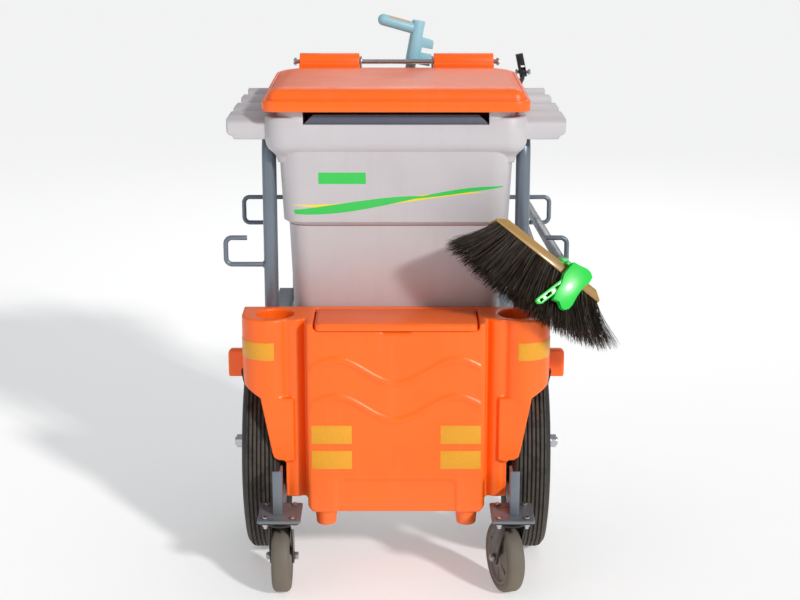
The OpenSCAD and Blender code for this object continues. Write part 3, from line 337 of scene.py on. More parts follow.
@dataclass(frozen=True)
class Finish:
    """A surface finish: its colours, its gloss and how the weather has marked it, with painted shade under
    the bin's step and a painted highlight along the wood's edges.
    """

    name: str
    slot: Slot
    colour: Colour
    patch: Colour
    rough: float = 0.4
    metallic: float = 0.0
    coat: float = 0.0
    patch_scale: float = 6.0
    patch_mix: float = 0.5
    grain_scale: float = 900.0
    grain_step: float = 0.0002
    dust: Colour = (0.30, 0.24, 0.17)
    dust_top: float = 0.35
    dust_amount: float = 0.35
    dust_up: float = 0.25
    # Edge colour, amount and radius: real wear on most finishes, a painted highlight on the wood.
    edge_wear_and_light_colour: Colour = (0.5, 0.5, 0.5)
    edge_wear_and_light: float = 0.0
    wear_radius: float = 0.0015
    streaks: float = 0.15
    soft: float = 0.0

    def mix(self, g: TreeMaker, mask: Socket, first: object, second: Colour) -> Socket:
        """Adds a colour mix.

        Args:
            g: The material's node maker.
            mask: How much of the second colour shows.
            first: A socket or a colour.
            second: The colour that the mask brings in.

        Returns:
            The socket with the mixed colour.
        """
        made = g.node("Mix", data_type="RGBA")
        g.join(mask, made.inputs[0])
        if isinstance(first, Socket):
            g.join(first, made.inputs[6])
        else:
            made.inputs[6].default_value = (*first, 1.0)
        made.inputs[7].default_value = (*second, 1.0)
        return made.outputs[2]

    def material(self) -> bpy.types.Material:
        """Gives the finish's material, made once.

        Returns:
            The material.
        """
        found = bpy.data.materials.get(self.name)
        if found:
            return found
        made = bpy.data.materials.new(self.name)
        made.use_nodes = True
        made.node_tree.nodes.clear()
        g = TreeMaker(made.node_tree)
        out = g.node("OutputMaterial")
        shader = g.node("BsdfPrincipled")
        g.join(shader.outputs[0], out.inputs[0])
        where = g.node("TexCoord")
        self.surface(g, where.outputs["Object"], shader)
        return made

    def surface(self, g: TreeMaker, vector: Socket, shader: bpy.types.Node) -> None:
        """Joins the groups to the shader.

        Args:
            g: The material's node maker.
            vector: The piece's own coordinates.
            shader: The Principled shader.
        """
        weather = g.node("Group")
        weather.node_tree = WEATHER
        weather.inputs["Patch Scale"].default_value = self.patch_scale
        weather.inputs["Grain Scale"].default_value = self.grain_scale
        g.join(vector, weather.inputs["Vector"])
        patchy = g.maths("MULTIPLY", weather.outputs["Patches"], self.patch_mix)
        base = self.mix(g, patchy, self.colour, self.patch)
        base = self.pattern(g, vector, base)
        base = self.mix(g, g.maths("MULTIPLY", weather.outputs["Streaks"], self.streaks), base, self.dust)
        # Edge colour: real wear on most finishes; on the wood a painted highlight standing for the block's
        # lit top face.
        if self.edge_wear_and_light > 0:
            edges = g.node("Group")
            edges.node_tree = EDGES
            edges.inputs["Radius"].default_value = self.wear_radius
            edges.inputs["Amount"].default_value = self.edge_wear_and_light
            g.join(weather.outputs["Patches"], edges.inputs["Patches"])
            base = self.mix(g, edges.outputs["Mask"], base, self.edge_wear_and_light_colour)
        dust = g.node("Group")
        dust.node_tree = DUST
        dust.inputs["Top"].default_value = self.dust_top
        dust.inputs["Amount"].default_value = self.dust_amount
        dust.inputs["Upward"].default_value = self.dust_up
        g.join(vector, dust.inputs["Vector"])
        g.join(weather.outputs["Patches"], dust.inputs["Patches"])
        base = self.mix(g, dust.outputs["Mask"], base, self.dust)
        g.join(base, shader.inputs["Base Color"])
        spread = g.maths("MULTIPLY", weather.outputs["Patches"], 0.12)
        dusty = g.maths("MULTIPLY", dust.outputs["Mask"], 0.35)
        dull = g.maths("ADD", g.maths("ADD", spread, self.rough - 0.05), dusty, clamp=True)
        g.join(dull, shader.inputs["Roughness"])
        shader.inputs["Metallic"].default_value = self.metallic
        if self.metallic > 0:
            clean = g.maths("MULTIPLY", g.maths("SUBTRACT", 1.0, dust.outputs["Mask"]), self.metallic)
            g.join(clean, shader.inputs["Metallic"])
        shader.inputs["Coat Weight"].default_value = self.coat
        shader.inputs["Coat Roughness"].default_value = 0.12
        bump = g.node("Bump")
        bump.inputs["Strength"].default_value = 1.0
        bump.inputs["Distance"].default_value = self.grain_step
        g.join(self.relief(g, vector, weather.outputs["Grain"]), bump.inputs["Height"])
        if self.soft > 0:
            round_off = g.node("Bevel", samples=6)
            round_off.inputs["Radius"].default_value = self.soft
            g.join(round_off.outputs["Normal"], bump.inputs["Normal"])
        g.join(bump.outputs["Normal"], shader.inputs["Normal"])

    def pattern(self, g: TreeMaker, vector: Socket, base: Socket) -> Socket:
        """Gives the finish's own pattern over the base colour; the plain finish has none."""
        return base

    def relief(self, g: TreeMaker, vector: Socket, grain: Socket) -> Socket:
        """Gives the height that the bump follows; the plain finish has its grain."""
        return grain


@dataclass(frozen=True)
class Timber(Finish):
    """Varnished wood with its grain along one axis."""

    along: Point = (0.12, 1.0, 1.0)
    dark: Colour = (0.35, 0.2, 0.06)

    def pattern(self, g: TreeMaker, vector: Socket, base: Socket) -> Socket:
        """Draws the wood's year rings as fine lines along the block.

        Args:
            g: The material's node maker.
            vector: The piece's own coordinates.
            base: The colour so far.

        Returns:
            The colour with the rings.
        """
        stretch = g.node("Mapping")
        stretch.inputs["Scale"].default_value = self.along
        g.join(vector, stretch.inputs["Vector"])
        rings = g.ramp(g.noise(stretch.outputs["Vector"], 190.0, 5.0, 0.7), 0.42, 0.66)
        return self.mix(g, g.maths("MULTIPLY", rings, 0.55), base, self.dark)


@dataclass(frozen=True)
class Film(Finish):
    """Reflective film with its small cells."""

    cell: Colour = (0.82, 0.5, 0.04)

    def pattern(self, g: TreeMaker, vector: Socket, base: Socket) -> Socket:
        """Draws the film's cells.

        Args:
            g: The material's node maker.
            vector: The piece's own coordinates.
            base: The colour so far.

        Returns:
            The colour with the cells.
        """
        cells = g.node("TexVoronoi", feature="DISTANCE_TO_EDGE")
        cells.inputs["Scale"].default_value = 260.0
        g.join(vector, cells.inputs["Vector"])
        lines = g.maths("SUBTRACT", 1.0, g.ramp(cells.outputs["Distance"], 0.02, 0.14))
        return self.mix(g, g.maths("MULTIPLY", lines, 0.3), base, self.cell)


@dataclass(frozen=True)
class BinMoulding(Finish):
    """Grey plastic with two curved stripes and a plain badge on its front, and a reddish-dark line of painted
    shade and painted reflection under its step.
    """

    green: Colour = srgb(52, 200, 84)
    yellow: Colour = srgb(250, 218, 40)
    # line: colour of the painted shade in the step's crease, tinted reddish as a painted reflection of the
    # orange parts.
    line: Colour = srgb(140, 62, 56)
    front: float = -0.2315
    badge_at: tuple[float, float] = (-0.118, 0.915)
    badge_half: tuple[float, float] = (0.052, 0.013)
    step: float = 0.8052

    def ribbon(self, g: TreeMaker, x: Socket, z: Socket, height: float, swing: float,
               turn: float, wide: float, middle: float, reach: float) -> Socket:
        """Makes the mask of one curved stripe that is widest in its middle.

        Args:
            g: The material's node maker.
            x: How far along the front a point lies, in metres.
            z: Its height.
            height: The stripe's height where its wave crosses zero.
            swing: How far the wave goes up and down.
            turn: Where along the front the wave crosses zero.
            wide: Half of the stripe's greatest width.
            middle: Where along the front it is widest.
            reach: How far it goes to each side of there.

        Returns:
            The mask's socket.
        """
        wave = g.maths("SINE", g.maths("MULTIPLY", g.maths("SUBTRACT", x, turn), 8.2))
        centre = g.maths("ADD", g.maths("MULTIPLY", wave, swing), height)
        along = g.maths("DIVIDE", g.maths("SUBTRACT", x, middle), reach)
        narrowing = g.maths("SUBTRACT", 1.0, g.maths("MULTIPLY", along, along), clamp=True)
        half = g.maths("MULTIPLY", narrowing, wide)
        off = g.maths("SUBTRACT", g.maths("ABSOLUTE", g.maths("SUBTRACT", z, centre)), half)
        return g.maths("SUBTRACT", 1.0, g.ramp(off, -0.0004, 0.0003))

    def pattern(self, g: TreeMaker, vector: Socket, base: Socket) -> Socket:
        """Draws the stripes, the badge and the line of painted shade and painted reflection under the step.

        Args:
            g: The material's node maker.
            vector: The piece's own coordinates.
            base: The colour so far.

        Returns:
            The colour with them.
        """
        along, across, z = g.parts(vector)
        x = g.maths("ADD", along, SHIFT_X / 1000.0)
        front = g.maths("LESS_THAN", across, self.front)
        yellow = self.ribbon(g, x, z, 0.868, 0.016, 0.03, 0.0062, -0.02, 0.215)
        green = self.ribbon(g, x, z, 0.858, 0.020, -0.05, 0.0105, -0.10, 0.17)
        thin = self.ribbon(g, x, z, 0.876, 0.020, 0.08, 0.0050, 0.14, 0.11)
        base = self.mix(g, g.maths("MULTIPLY", yellow, front), base, self.yellow)
        base = self.mix(g, g.maths("MULTIPLY", green, front), base, self.green)
        base = self.mix(g, g.maths("MULTIPLY", thin, front), base, self.green)
        side, tall = (g.maths("SUBTRACT", g.maths("ABSOLUTE", g.maths("SUBTRACT", place, middle)), half)
                      for place, middle, half in zip((x, z), self.badge_at, self.badge_half))
        far = g.maths("MAXIMUM", side, tall)
        badge = g.maths("MULTIPLY", g.maths("SUBTRACT", 1.0, g.ramp(far, -0.0003, 0.0003)), front)
        base = self.mix(g, badge, base, self.green)
        # Painted shade and painted reflection: a reddish-dark band along the step.
        near = g.maths("ABSOLUTE", g.maths("SUBTRACT", z, self.step))
        step_shade_mask = g.maths("SUBTRACT", 1.0, g.ramp(near, 0.0006, 0.0020))
        return self.mix(g, g.maths("MULTIPLY", step_shade_mask, 0.75), base, self.line)


@dataclass(frozen=True)
class RoadRubber(Finish):
    """Rubber whose tread is brown with road dust while its walls stay black."""

    tread: Colour = srgb(92, 80, 66)
    radius: float = 0.248
    axle: Point = (0.0, 0.0, 248.0)

    def pattern(self, g: TreeMaker, vector: Socket, base: Socket) -> Socket:
        """Browns the part of the rubber that meets the road.

        Args:
            g: The material's node maker.
            vector: The piece's own coordinates.
            base: The colour so far.

        Returns:
            The colour with the dusty tread.
        """
        centre = at(*self.axle)
        across, height = g.parts(vector)[1:]
        y = g.maths("SUBTRACT", across, centre.y)
        z = g.maths("SUBTRACT", height, centre.z)
        out = g.maths("SQRT", g.maths("ADD", g.maths("MULTIPLY", y, y), g.maths("MULTIPLY", z, z)))
        rim = g.ramp(out, self.radius - 0.006, self.radius - 0.001)
        broken = g.maths("MULTIPLY", rim, g.ramp(g.noise(vector, 42.0, 4.0, 0.7), 0.3, 0.62))
        return self.mix(g, g.maths("MULTIPLY", broken, 0.5), base, self.tread)


@dataclass(frozen=True)
class GripMoulding(Finish):
    """Blue plastic with a soft tan strip along the top of the grip's arm."""

    strip: Colour = srgb(206, 168, 132)
    start: float = -0.062
    stop: float = -0.008

    def pattern(self, g: TreeMaker, vector: Socket, base: Socket) -> Socket:
        """Colours the strip.

        Args:
            g: The material's node maker.
            vector: The piece's own coordinates.
            base: The colour so far.

        Returns:
            The colour with the strip.
        """
        along = g.parts(vector)["X"]
        up = g.ramp(g.parts(g.node("NewGeometry").outputs["Normal"])["Z"], 0.66, 0.70)
        inside = g.maths("LESS_THAN", along, self.stop)
        beyond = g.maths("GREATER_THAN", along, self.start)
        return self.mix(g, g.maths("MULTIPLY", up, g.maths("MULTIPLY", inside, beyond)), base, self.strip)


ORANGE = Finish("Orange moulding", Slot.ORANGE, srgb(255, 106, 14), srgb(250, 98, 10), rough=0.34,
                patch_mix=0.5, grain_scale=700.0, grain_step=0.00012, dust=srgb(206, 150, 110),
                dust_top=0.30, dust_amount=0.25, dust_up=0.08, edge_wear_and_light_colour=srgb(255, 160, 100), edge_wear_and_light=0.35,
                wear_radius=0.003, streaks=0.05, soft=0.003)
BIN_GREY = BinMoulding("Grey moulding", Slot.GREY, srgb(196, 193, 196), srgb(186, 182, 187),
                       rough=0.42, patch_mix=0.5, grain_scale=620.0, grain_step=0.00014,
                       dust=srgb(150, 138, 124), dust_top=0.36, dust_amount=0.12, dust_up=0.12,
                       streaks=0.06, soft=0.004)
DARK_BAR = Finish("Dark moulding", Slot.DARK, srgb(84, 88, 104), srgb(74, 78, 92), rough=0.45,
                  streaks=0.08)
FRAME_PAINT = Finish("Frame paint", Slot.FRAME, srgb(112, 124, 136), srgb(96, 106, 118), rough=0.36,
                     metallic=0.35, grain_scale=1400.0, grain_step=0.00006, dust=srgb(128, 112, 94),
                     dust_top=0.45, dust_amount=0.45, edge_wear_and_light_colour=srgb(180, 184, 188), edge_wear_and_light=0.5,
                     wear_radius=0.0012)
BRIGHT = Finish("Zinc plate", Slot.BRIGHT, srgb(196, 198, 200), srgb(160, 162, 166), rough=0.24,
                metallic=1.0, grain_scale=1800.0, grain_step=0.00004, dust=srgb(120, 106, 90),
                dust_top=0.3, dust_amount=0.35)
BLACK = Finish("Black steel", Slot.BLACK, srgb(18, 19, 21), srgb(30, 30, 32), rough=0.24,
               grain_scale=1500.0, grain_step=0.00006, dust=srgb(116, 102, 86), dust_top=0.25,
               dust_amount=0.3, edge_wear_and_light_colour=srgb(120, 120, 122), edge_wear_and_light=0.4, wear_radius=0.001)
TYRE = RoadRubber("Tyre rubber", Slot.TYRE, srgb(24, 24, 25), srgb(38, 37, 36), rough=0.6,
                  grain_scale=500.0, grain_step=0.0003, dust=srgb(104, 92, 76), dust_top=0.3,
                  dust_amount=0.3, dust_up=0.05)
CASTER_TREAD = Finish("Caster tread", Slot.CASTER, srgb(104, 98, 88), srgb(74, 68, 62), rough=0.65,
                      grain_scale=420.0, grain_step=0.0004, dust=srgb(132, 120, 102), dust_top=0.16,
                      dust_amount=0.45)
CASTER_HUB = Finish("Caster hub", Slot.HUB, srgb(96, 98, 102), srgb(82, 84, 88), rough=0.5,
                    dust_amount=0.4)
FILM = Film("Reflective film", Slot.FILM, srgb(226, 152, 0), srgb(214, 140, 0), rough=0.42, coat=0.15,
            grain_scale=600.0, grain_step=0.00008, streaks=0.03, dust_amount=0.05)
POLE = Finish("Pole metal", Slot.POLE, srgb(150, 154, 158), srgb(128, 132, 138), rough=0.3,
              metallic=0.8)
GREEN = Finish("Green moulding", Slot.GREEN, srgb(20, 214, 70), srgb(14, 200, 60), rough=0.26,
               grain_step=0.00008, edge_wear_and_light_colour=srgb(120, 240, 140), edge_wear_and_light=0.3, coat=0.4, soft=0.002)
# The light gold laid on the block's edges at full strength is a painted highlight standing for its lit top
# face.
WOOD = Timber("Varnished wood", Slot.WOOD, srgb(158, 118, 44), srgb(128, 92, 32), rough=0.4, coat=0.3,
              edge_wear_and_light_colour=srgb(240, 200, 104), edge_wear_and_light=1.0, wear_radius=0.0028)
FIBRE = Finish("Bristle fibre", Slot.FIBRE, srgb(26, 19, 13), srgb(66, 50, 30), rough=0.45,
               patch_scale=90.0, patch_mix=0.7, grain_step=0.00003, dust_amount=0.0, dust_up=0.0,
               streaks=0.0)
BLUE = GripMoulding("Blue moulding", Slot.BLUE, srgb(150, 206, 222), srgb(136, 194, 212), rough=0.36,
                    soft=0.0015)

NODE_FINISH: dict[str, Finish] = {}
for finish, names in {
    FRAME_PAINT: "side_frame_left side_frame_right push_handle rear_cross_tube rear_leg_left "
                 "rear_leg_right base_rail_left base_rail_right axle_plate_left axle_plate_right "
                 "top_beam_left top_beam_right front_cross_beam rear_cross_beam caster_plates "
                 "front_hook_left front_hook_right rear_hook_left rear_hook_right tool_cup",
    BRIGHT: "main_axle axle_nuts wheel_bearings_left wheel_bearings_right caster_bolts "
            "caster_axle_left caster_axle_right tool_box_hinge_pin hinge_brackets hinge_rod clip_bolt",
    BLACK: "wheel_left wheel_right caster_top_left caster_top_right caster_fork_left "
           "caster_fork_right box_straps clip_post clip_head",
    ORANGE: "tool_box tool_box_lid bin_lid",
    BIN_GREY: "bin_shell",
    DARK_BAR: "sack_bar",
    TYRE: "tyre_left tyre_right",
    CASTER_TREAD: "caster_tyre_left caster_tyre_right",
    CASTER_HUB: "caster_wheel_left caster_wheel_right",
    FILM: "reflective_tapes",
    POLE: "broom_pole litter_rod handled_tool_pole",
    GREEN: "broom_clamp broom_clamp_lever",
    WOOD: "broom_block",
    FIBRE: "broom_bristles",
    BLUE: "tool_grip",
}.items():
    for name in names.split():
        NODE_FINISH[name] = finish


# ---------------------------------------------------------------- mesh helpers


def body_of_node(node: str) -> str:
    """Gives the name of the body that a CAD node rides on."""
    return frame["nodes"][node]["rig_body"]


def settle(piece: bpy.types.Object, finish: Finish, body: str, *nodes: str) -> bpy.types.Object:
    """Gives a piece its finish and its body, and hides the CAD nodes that it replaces.

    Args:
        piece: The finished piece.
        finish: What it is made of.
        body: The body that it rides on.
        nodes: The CAD nodes that it replaces.

    Returns:
        The same piece.
    """
    if not piece.data.materials:
        piece.data.materials.append(finish.material())
    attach(piece, body)
    if nodes:
        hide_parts(*nodes)
    LOG.info("%s: %d faces, on %s", piece.name, len(piece.data.polygons), body)
    return piece


def new_piece(name: str, points: Iterable[Vector], faces: Iterable[Sequence[int]]) -> bpy.types.Object:
    """Makes an object from points and faces.

    Args:
        name: The piece's name.
        points: Its points, in metres.
        faces: Its faces, as numbers of points.

    Returns:
        The new object, in the scene.
    """
    mesh = bpy.data.meshes.new(name)
    mesh.from_pydata([tuple(p) for p in points], [], [tuple(f) for f in faces])
    piece = bpy.data.objects.new(name, mesh)
    bpy.context.scene.collection.objects.link(piece)
    return piece


def applied(piece: bpy.types.Object) -> bpy.types.Object:
    """Turns a piece with modifiers into a plain mesh without them.

    Args:
        piece: The piece, which is changed in place.

    Returns:
        The same piece.
    """
    graph = bpy.context.evaluated_depsgraph_get()
    finished = piece.evaluated_get(graph)
    done = bpy.data.meshes.new_from_object(finished, preserve_all_data_layers=True, depsgraph=graph)
    piece.modifiers.clear()
    old = piece.data
    piece.data = done
    bpy.data.meshes.remove(old)
    done.name = piece.name
    return piece


def merged_copy(node: str, name: str) -> bpy.types.Object:
    """Copies a CAD node's mesh, joins its loose triangles and gives back its flat faces.

    Args:
        node: The node that is copied.
        name: The new piece's name.

    Returns:
        The new object.
    """
    mesh = frame["nodes"][node].data.copy()
    mesh.name = name
    mesh.materials.clear()
    piece = bpy.data.objects.new(name, mesh)
    bpy.context.scene.collection.objects.link(piece)
    work = bmesh.new()
    work.from_mesh(mesh)
    bmesh.ops.remove_doubles(work, verts=work.verts, dist=1e-5)
    bmesh.ops.dissolve_limit(work, angle_limit=math.radians(0.8), verts=work.verts, edges=work.edges)
    work.to_mesh(mesh)
    work.free()
    return piece


def smooth_by_angle(piece: bpy.types.Object, degrees: float = 32.0) -> None:
    """Shades a piece smooth, with sharp edges where its faces turn by more than an angle.

    Args:
        piece: The piece, which is changed in place.
        degrees: That angle.
    """
    mesh = piece.data
    work = bmesh.new()
    work.from_mesh(mesh)
    for face in work.faces:
        face.smooth = True
    for edge in work.edges:
        edge.smooth = len(edge.link_faces) != 2 or edge.calc_face_angle(0.0) < math.radians(degrees)
    work.to_mesh(mesh)
    work.free()


def refined(node: str, width: float = 0.6, segments: int = 2) -> bpy.types.Object:
    """Makes a smooth piece with broken edges in the shape of a CAD node.

    Args:
        node: The CAD node.
        width: How wide its edges are rounded, in millimetres.
        segments: How many faces each rounding has.

    Returns:
        The finished piece.
    """
    piece = merged_copy(node, node + "_body")
    if width > 0:
        bevel = piece.modifiers.new("Broken edges", "BEVEL")
        bevel.width = width / 1000.0
        bevel.segments = segments
        bevel.limit_method = "ANGLE"
        bevel.angle_limit = math.radians(35)
        bevel.use_clamp_overlap = True
        bevel.harden_normals = False
        applied(piece)
    smooth_by_angle(piece)
    return settle(piece, NODE_FINISH[node], body_of_node(node), node)


class FormMaker(TreeMaker):
    """Makes a geometry node tree and turns its result into plain meshes."""

    def __init__(self, name: str) -> None:
        """Starts a tree with a mesh coming in and a mesh going out.

        Args:
            name: What the tree is called.
        """
        super().__init__(bpy.data.node_groups.new(name, "GeometryNodeTree"))
        for way in ("INPUT", "OUTPUT"):
            self.tree.interface.new_socket(name="Geometry", in_out=way, socket_type="NodeSocketGeometry")
        self.enter = self.node("NodeGroupInput")
        self.leave = self.node("NodeGroupOutput")

    def takes(self, name: str, kind: str, value: object = None) -> Socket:
        """Adds a named input.

        Args:
            name: The input's name.
            kind: Float, Int or Material.
            value: What it holds until a modifier sets it.

        Returns:
            The socket that gives the input's value.
        """
        socket = self.tree.interface.new_socket(name=name, in_out="INPUT", socket_type="NodeSocket" + kind)
        if value is not None:
            socket.default_value = value
        return self.enter.outputs[name]

    def random(self, low: float, high: float, seed: int) -> Socket:
        """Adds a random number.

        Args:
            low: Its lowest value.
            high: Its highest value.
            seed: What fixes the draws.

        Returns:
            The socket with the number.
        """
        made = self.node("FunctionNodeRandomValue", data_type="FLOAT")
        made.inputs[2].default_value = low
        made.inputs[3].default_value = high
        made.inputs["Seed"].default_value = seed
        return made.outputs[1]

    def vector(self, *parts: object) -> Socket:
        """Makes a vector of three sockets or numbers.

        Args:
            parts: Its X, Y and Z.

        Returns:
            The socket with the vector.
        """
        made = self.node("CombineXYZ")
        self.fill(made, parts)
        return made.outputs[0]

    def stored(self, name: str, kind: str = "FLOAT") -> Socket:
        """Reads an attribute that the tree has stored.

        Args:
            name: The attribute's name.
            kind: Its data type.

        Returns:
            The socket with its value.
        """
        made = self.node("GeometryNodeInputNamedAttribute", data_type=kind)
        made.inputs["Name"].default_value = name
        return made.outputs[0]

    def finish(self, instances: Socket, bend: Callable | None = None) -> None:
        """Ends the tree with real geometry and its material.

        Args:
            instances: The socket with the instances.
            bend: A function that gives the new position's socket, where the shapes are bent.
        """
        real = self.node("GeometryNodeRealizeInstances")
        self.join(instances, real.inputs[0])
        result = real.outputs[0]
        if bend:
            place = self.node("GeometryNodeSetPosition")
            self.join(result, place.inputs["Geometry"])
            self.join(bend(), place.inputs["Position"])
            result = place.outputs[0]
        paint = self.node("GeometryNodeSetMaterial")
        self.join(result, paint.inputs["Geometry"])
        self.join(self.enter.outputs["Material"], paint.inputs["Material"])
        self.join(paint.outputs[0], self.leave.inputs[0])

    def grow(self, piece: bpy.types.Object, **values: object) -> bpy.types.Object:
        """Runs the tree on a piece and keeps the result as a plain mesh.

        Args:
            piece: The object that holds the starting points.
            values: The tree's inputs, with underscores for spaces.

        Returns:
            The same object with its new mesh.
        """
        modifier = piece.modifiers.new(self.tree.name, "NODES")
        modifier.node_group = self.tree
        for item in self.tree.interface.items_tree:
            key = item.name.replace(" ", "_")
            if item.item_type == "SOCKET" and item.in_out == "INPUT" and key in values:
                modifier[item.identifier] = values[key]
        return applied(piece)


def bristle_tree() -> FormMaker:
    """Makes the tree that grows bent strands from a tuft's points.

    Returns:
        The tree's maker.
    """
    shortest, longest = 0.9, 1.07
    stray_wide, stray_deep = 0.05, 0.07
    sway_wide, sway_deep, sway_scale = 0.22, 0.30, 95.0
    taper, spring, fan_deep, least_drop = 0.55, 0.28, 0.16, 0.12
    f = FormMaker("Bristles")
    count = f.takes("Strands", "Int", 12)
    length = f.takes("Length", "Float", 0.1)
    radius = f.takes("Radius", "Float", 0.0008)
    tuft = f.takes("Tuft Radius", "Float", 0.003)
    half_x = f.takes("Half Width", "Float", 0.14)
    half_y = f.takes("Half Depth", "Float", 0.024)
    lean = f.takes("Lean", "Float", 0.19)
    fan = f.takes("Fan", "Float", 0.66)
    f.takes("Material", "Material")
    points = f.node("GeometryNodeMeshToPoints")
    f.join(f.enter.outputs["Geometry"], points.inputs[0])
    many = f.node("GeometryNodeDuplicateElements", domain="POINT")
    f.join(points.outputs[0], many.inputs["Geometry"])
    f.join(count, many.inputs["Amount"])
    spread = f.node("GeometryNodeSetPosition")
    f.join(many.outputs[0], spread.inputs["Geometry"])
    turn = f.random(0.0, math.tau, 3)
    out = f.maths("MULTIPLY", f.maths("SQRT", f.random(0.0, 1.0, 5)), tuft)
    f.join(f.vector(f.maths("MULTIPLY", f.maths("COSINE", turn), out),
                    f.maths("MULTIPLY", f.maths("SINE", turn), out), 0.0), spread.inputs["Offset"])
    here = f.node("GeometryNodeInputPosition")
    result = spread.outputs[0]
    for name, kind, value in (("root", "FLOAT_VECTOR", here.outputs[0]),
                              ("reach", "FLOAT", f.random(shortest, longest, 11)),
                              ("stray_x", "FLOAT", f.random(-stray_wide, stray_wide, 13)),
                              ("stray_y", "FLOAT", f.random(-stray_deep, stray_deep, 17))):
        store = f.node("GeometryNodeStoreNamedAttribute", data_type=kind, domain="POINT")
        store.inputs["Name"].default_value = name
        f.join(result, store.inputs["Geometry"])
        f.join(value, store.inputs["Value"])
        result = store.outputs[0]
    strand = f.node("GeometryNodeMeshCylinder", fill_type="NGON")
    strand.inputs["Vertices"].default_value = 3
    strand.inputs["Side Segments"].default_value = 4
    f.join(radius, strand.inputs["Radius"])
    strand.inputs["Depth"].default_value = 1.0
    onto = f.node("GeometryNodeInstanceOnPoints")
    f.join(result, onto.inputs["Points"])
    f.join(strand.outputs["Mesh"], onto.inputs["Instance"])
    f.join(f.vector(0.0, 0.0, turn), onto.inputs["Rotation"])

    def bend() -> Socket:
        """Gives each point's place on its bent strand.

        Returns:
            The socket with the place.
        """
        times = partial(f.maths, "MULTIPLY")
        plus = partial(f.maths, "ADD")
        minus = partial(f.maths, "SUBTRACT")
        root_x, root_y, root_z = f.parts(f.stored("root", "FLOAT_VECTOR"))
        now_x, now_y, now_z = f.parts(f.node("GeometryNodeInputPosition").outputs[0])
        along = minus(0.5, minus(now_z, root_z))
        thin = minus(1.0, times(along, taper))
        clump = f.node("TexNoise")
        clump.inputs["Scale"].default_value = sway_scale
        clump.inputs["Detail"].default_value = 1.0
        f.join(f.stored("root", "FLOAT_VECTOR"), clump.inputs["Vector"])
        sway = f.parts(clump.outputs["Color"])
        sway_x = times(minus(sway[0], 0.5), sway_wide)
        sway_y = times(minus(sway[1], 0.5), sway_deep)
        u = f.maths("DIVIDE", root_x, half_x)
        v = f.maths("DIVIDE", root_y, half_y)
        go_x = plus(plus(lean, times(u, fan)), plus(f.stored("stray_x"), sway_x))
        go_y = plus(times(v, fan_deep), plus(f.stored("stray_y"), sway_y))
        flat = plus(times(go_x, go_x), times(go_y, go_y))
        down = f.maths("SQRT", f.maths("MAXIMUM", minus(1.0, flat), least_drop))
        curve = times(along, plus(1.0 - spring, times(along, spring)))
        far = times(length, f.stored("reach"))
        x = plus(plus(root_x, times(minus(now_x, root_x), thin)), times(times(go_x, curve), far))
        y = plus(plus(root_y, times(minus(now_y, root_y), thin)), times(times(go_y, curve), far))
        return f.vector(x, y, minus(root_z, times(times(down, along), far)))

    f.finish(onto.outputs[0], bend)
    return f


def bead_tree() -> FormMaker:
    """Makes the tree that lays overlapping weld drops along a line of points.

    Returns:
        The tree's maker.
    """
    smallest, largest, squash = 0.85, 1.15, 0.7
    f = FormMaker("Weld bead")
    step = f.takes("Step", "Float", 0.002)
    radius = f.takes("Radius", "Float", 0.0022)
    f.takes("Material", "Material")
    line = f.node("GeometryNodeMeshToCurve")
    f.join(f.enter.outputs["Geometry"], line.inputs[0])
    drops = f.node("GeometryNodeCurveToPoints", mode="LENGTH")
    f.join(line.outputs[0], drops.inputs[0])
    f.join(step, drops.inputs["Length"])
    drop = f.node("GeometryNodeMeshUVSphere")
    drop.inputs["Segments"].default_value = 8
    drop.inputs["Rings"].default_value = 5
    f.join(radius, drop.inputs["Radius"])
    onto = f.node("GeometryNodeInstanceOnPoints")
    f.join(drops.outputs[0], onto.inputs["Points"])
    f.join(drop.outputs["Mesh"], onto.inputs["Instance"])
    f.join(drops.outputs["Rotation"], onto.inputs["Rotation"])
    size = f.random(smallest, largest, 7)
    f.join(f.vector(size, size, squash), onto.inputs["Scale"])
    f.finish(onto.outputs[0])
    return f


# ---------------------------------------------------------------- sub-assemblies


@dataclass
class Broom:
    """The broom's bristles, which hang from the underside of its block."""

    head_at: Point = (318.0, -236.0, 740.0)
    turn_x: float = -28.0
    turn_y: float = 39.0
    width: float = 277.0
    depth: float = 48.0
    columns: int = 48
    rows: int = 7
    strands: int = 15
    length: float = 107.0
    strand_radius: float = 0.62
    tuft_radius: float = 2.7
    inside: float = 0.3
    lean: float = 0.19
    fan: float = 0.66

    def build(self) -> None:
        """Grows the strands under a flat block, then turns them into the broom's place."""
        across = [self.width * (i / (self.columns - 1) - 0.5) for i in range(self.columns)]
        deep = [self.depth * (j / (self.rows - 1) - 0.5) for j in range(self.rows)]
        points = [Vector((x, y, self.inside)) / 1000.0 for x in across for y in deep]
        piece = new_piece("bristle_strands", points, [])
        bristle_tree().grow(piece, Strands=self.strands, Length=self.length / 1000.0,
                            Radius=self.strand_radius / 1000.0, Tuft_Radius=self.tuft_radius / 1000.0,
                            Half_Width=self.width / 2000.0, Half_Depth=self.depth / 2000.0,
                            Lean=self.lean, Fan=self.fan, Material=FIBRE.material())
        for attribute in ("root", "reach", "stray_x", "stray_y"):
            found = piece.data.attributes.get(attribute)
            if found:
                piece.data.attributes.remove(found)
        head = (Matrix.Translation(at(*self.head_at)) @ Matrix.Rotation(math.radians(self.turn_y), 4, "Y")
                @ Matrix.Rotation(math.radians(self.turn_x), 4, "X"))
        piece.data.transform(head)
        settle(piece, FIBRE, body_of_node("broom_bristles"), "broom_bristles")


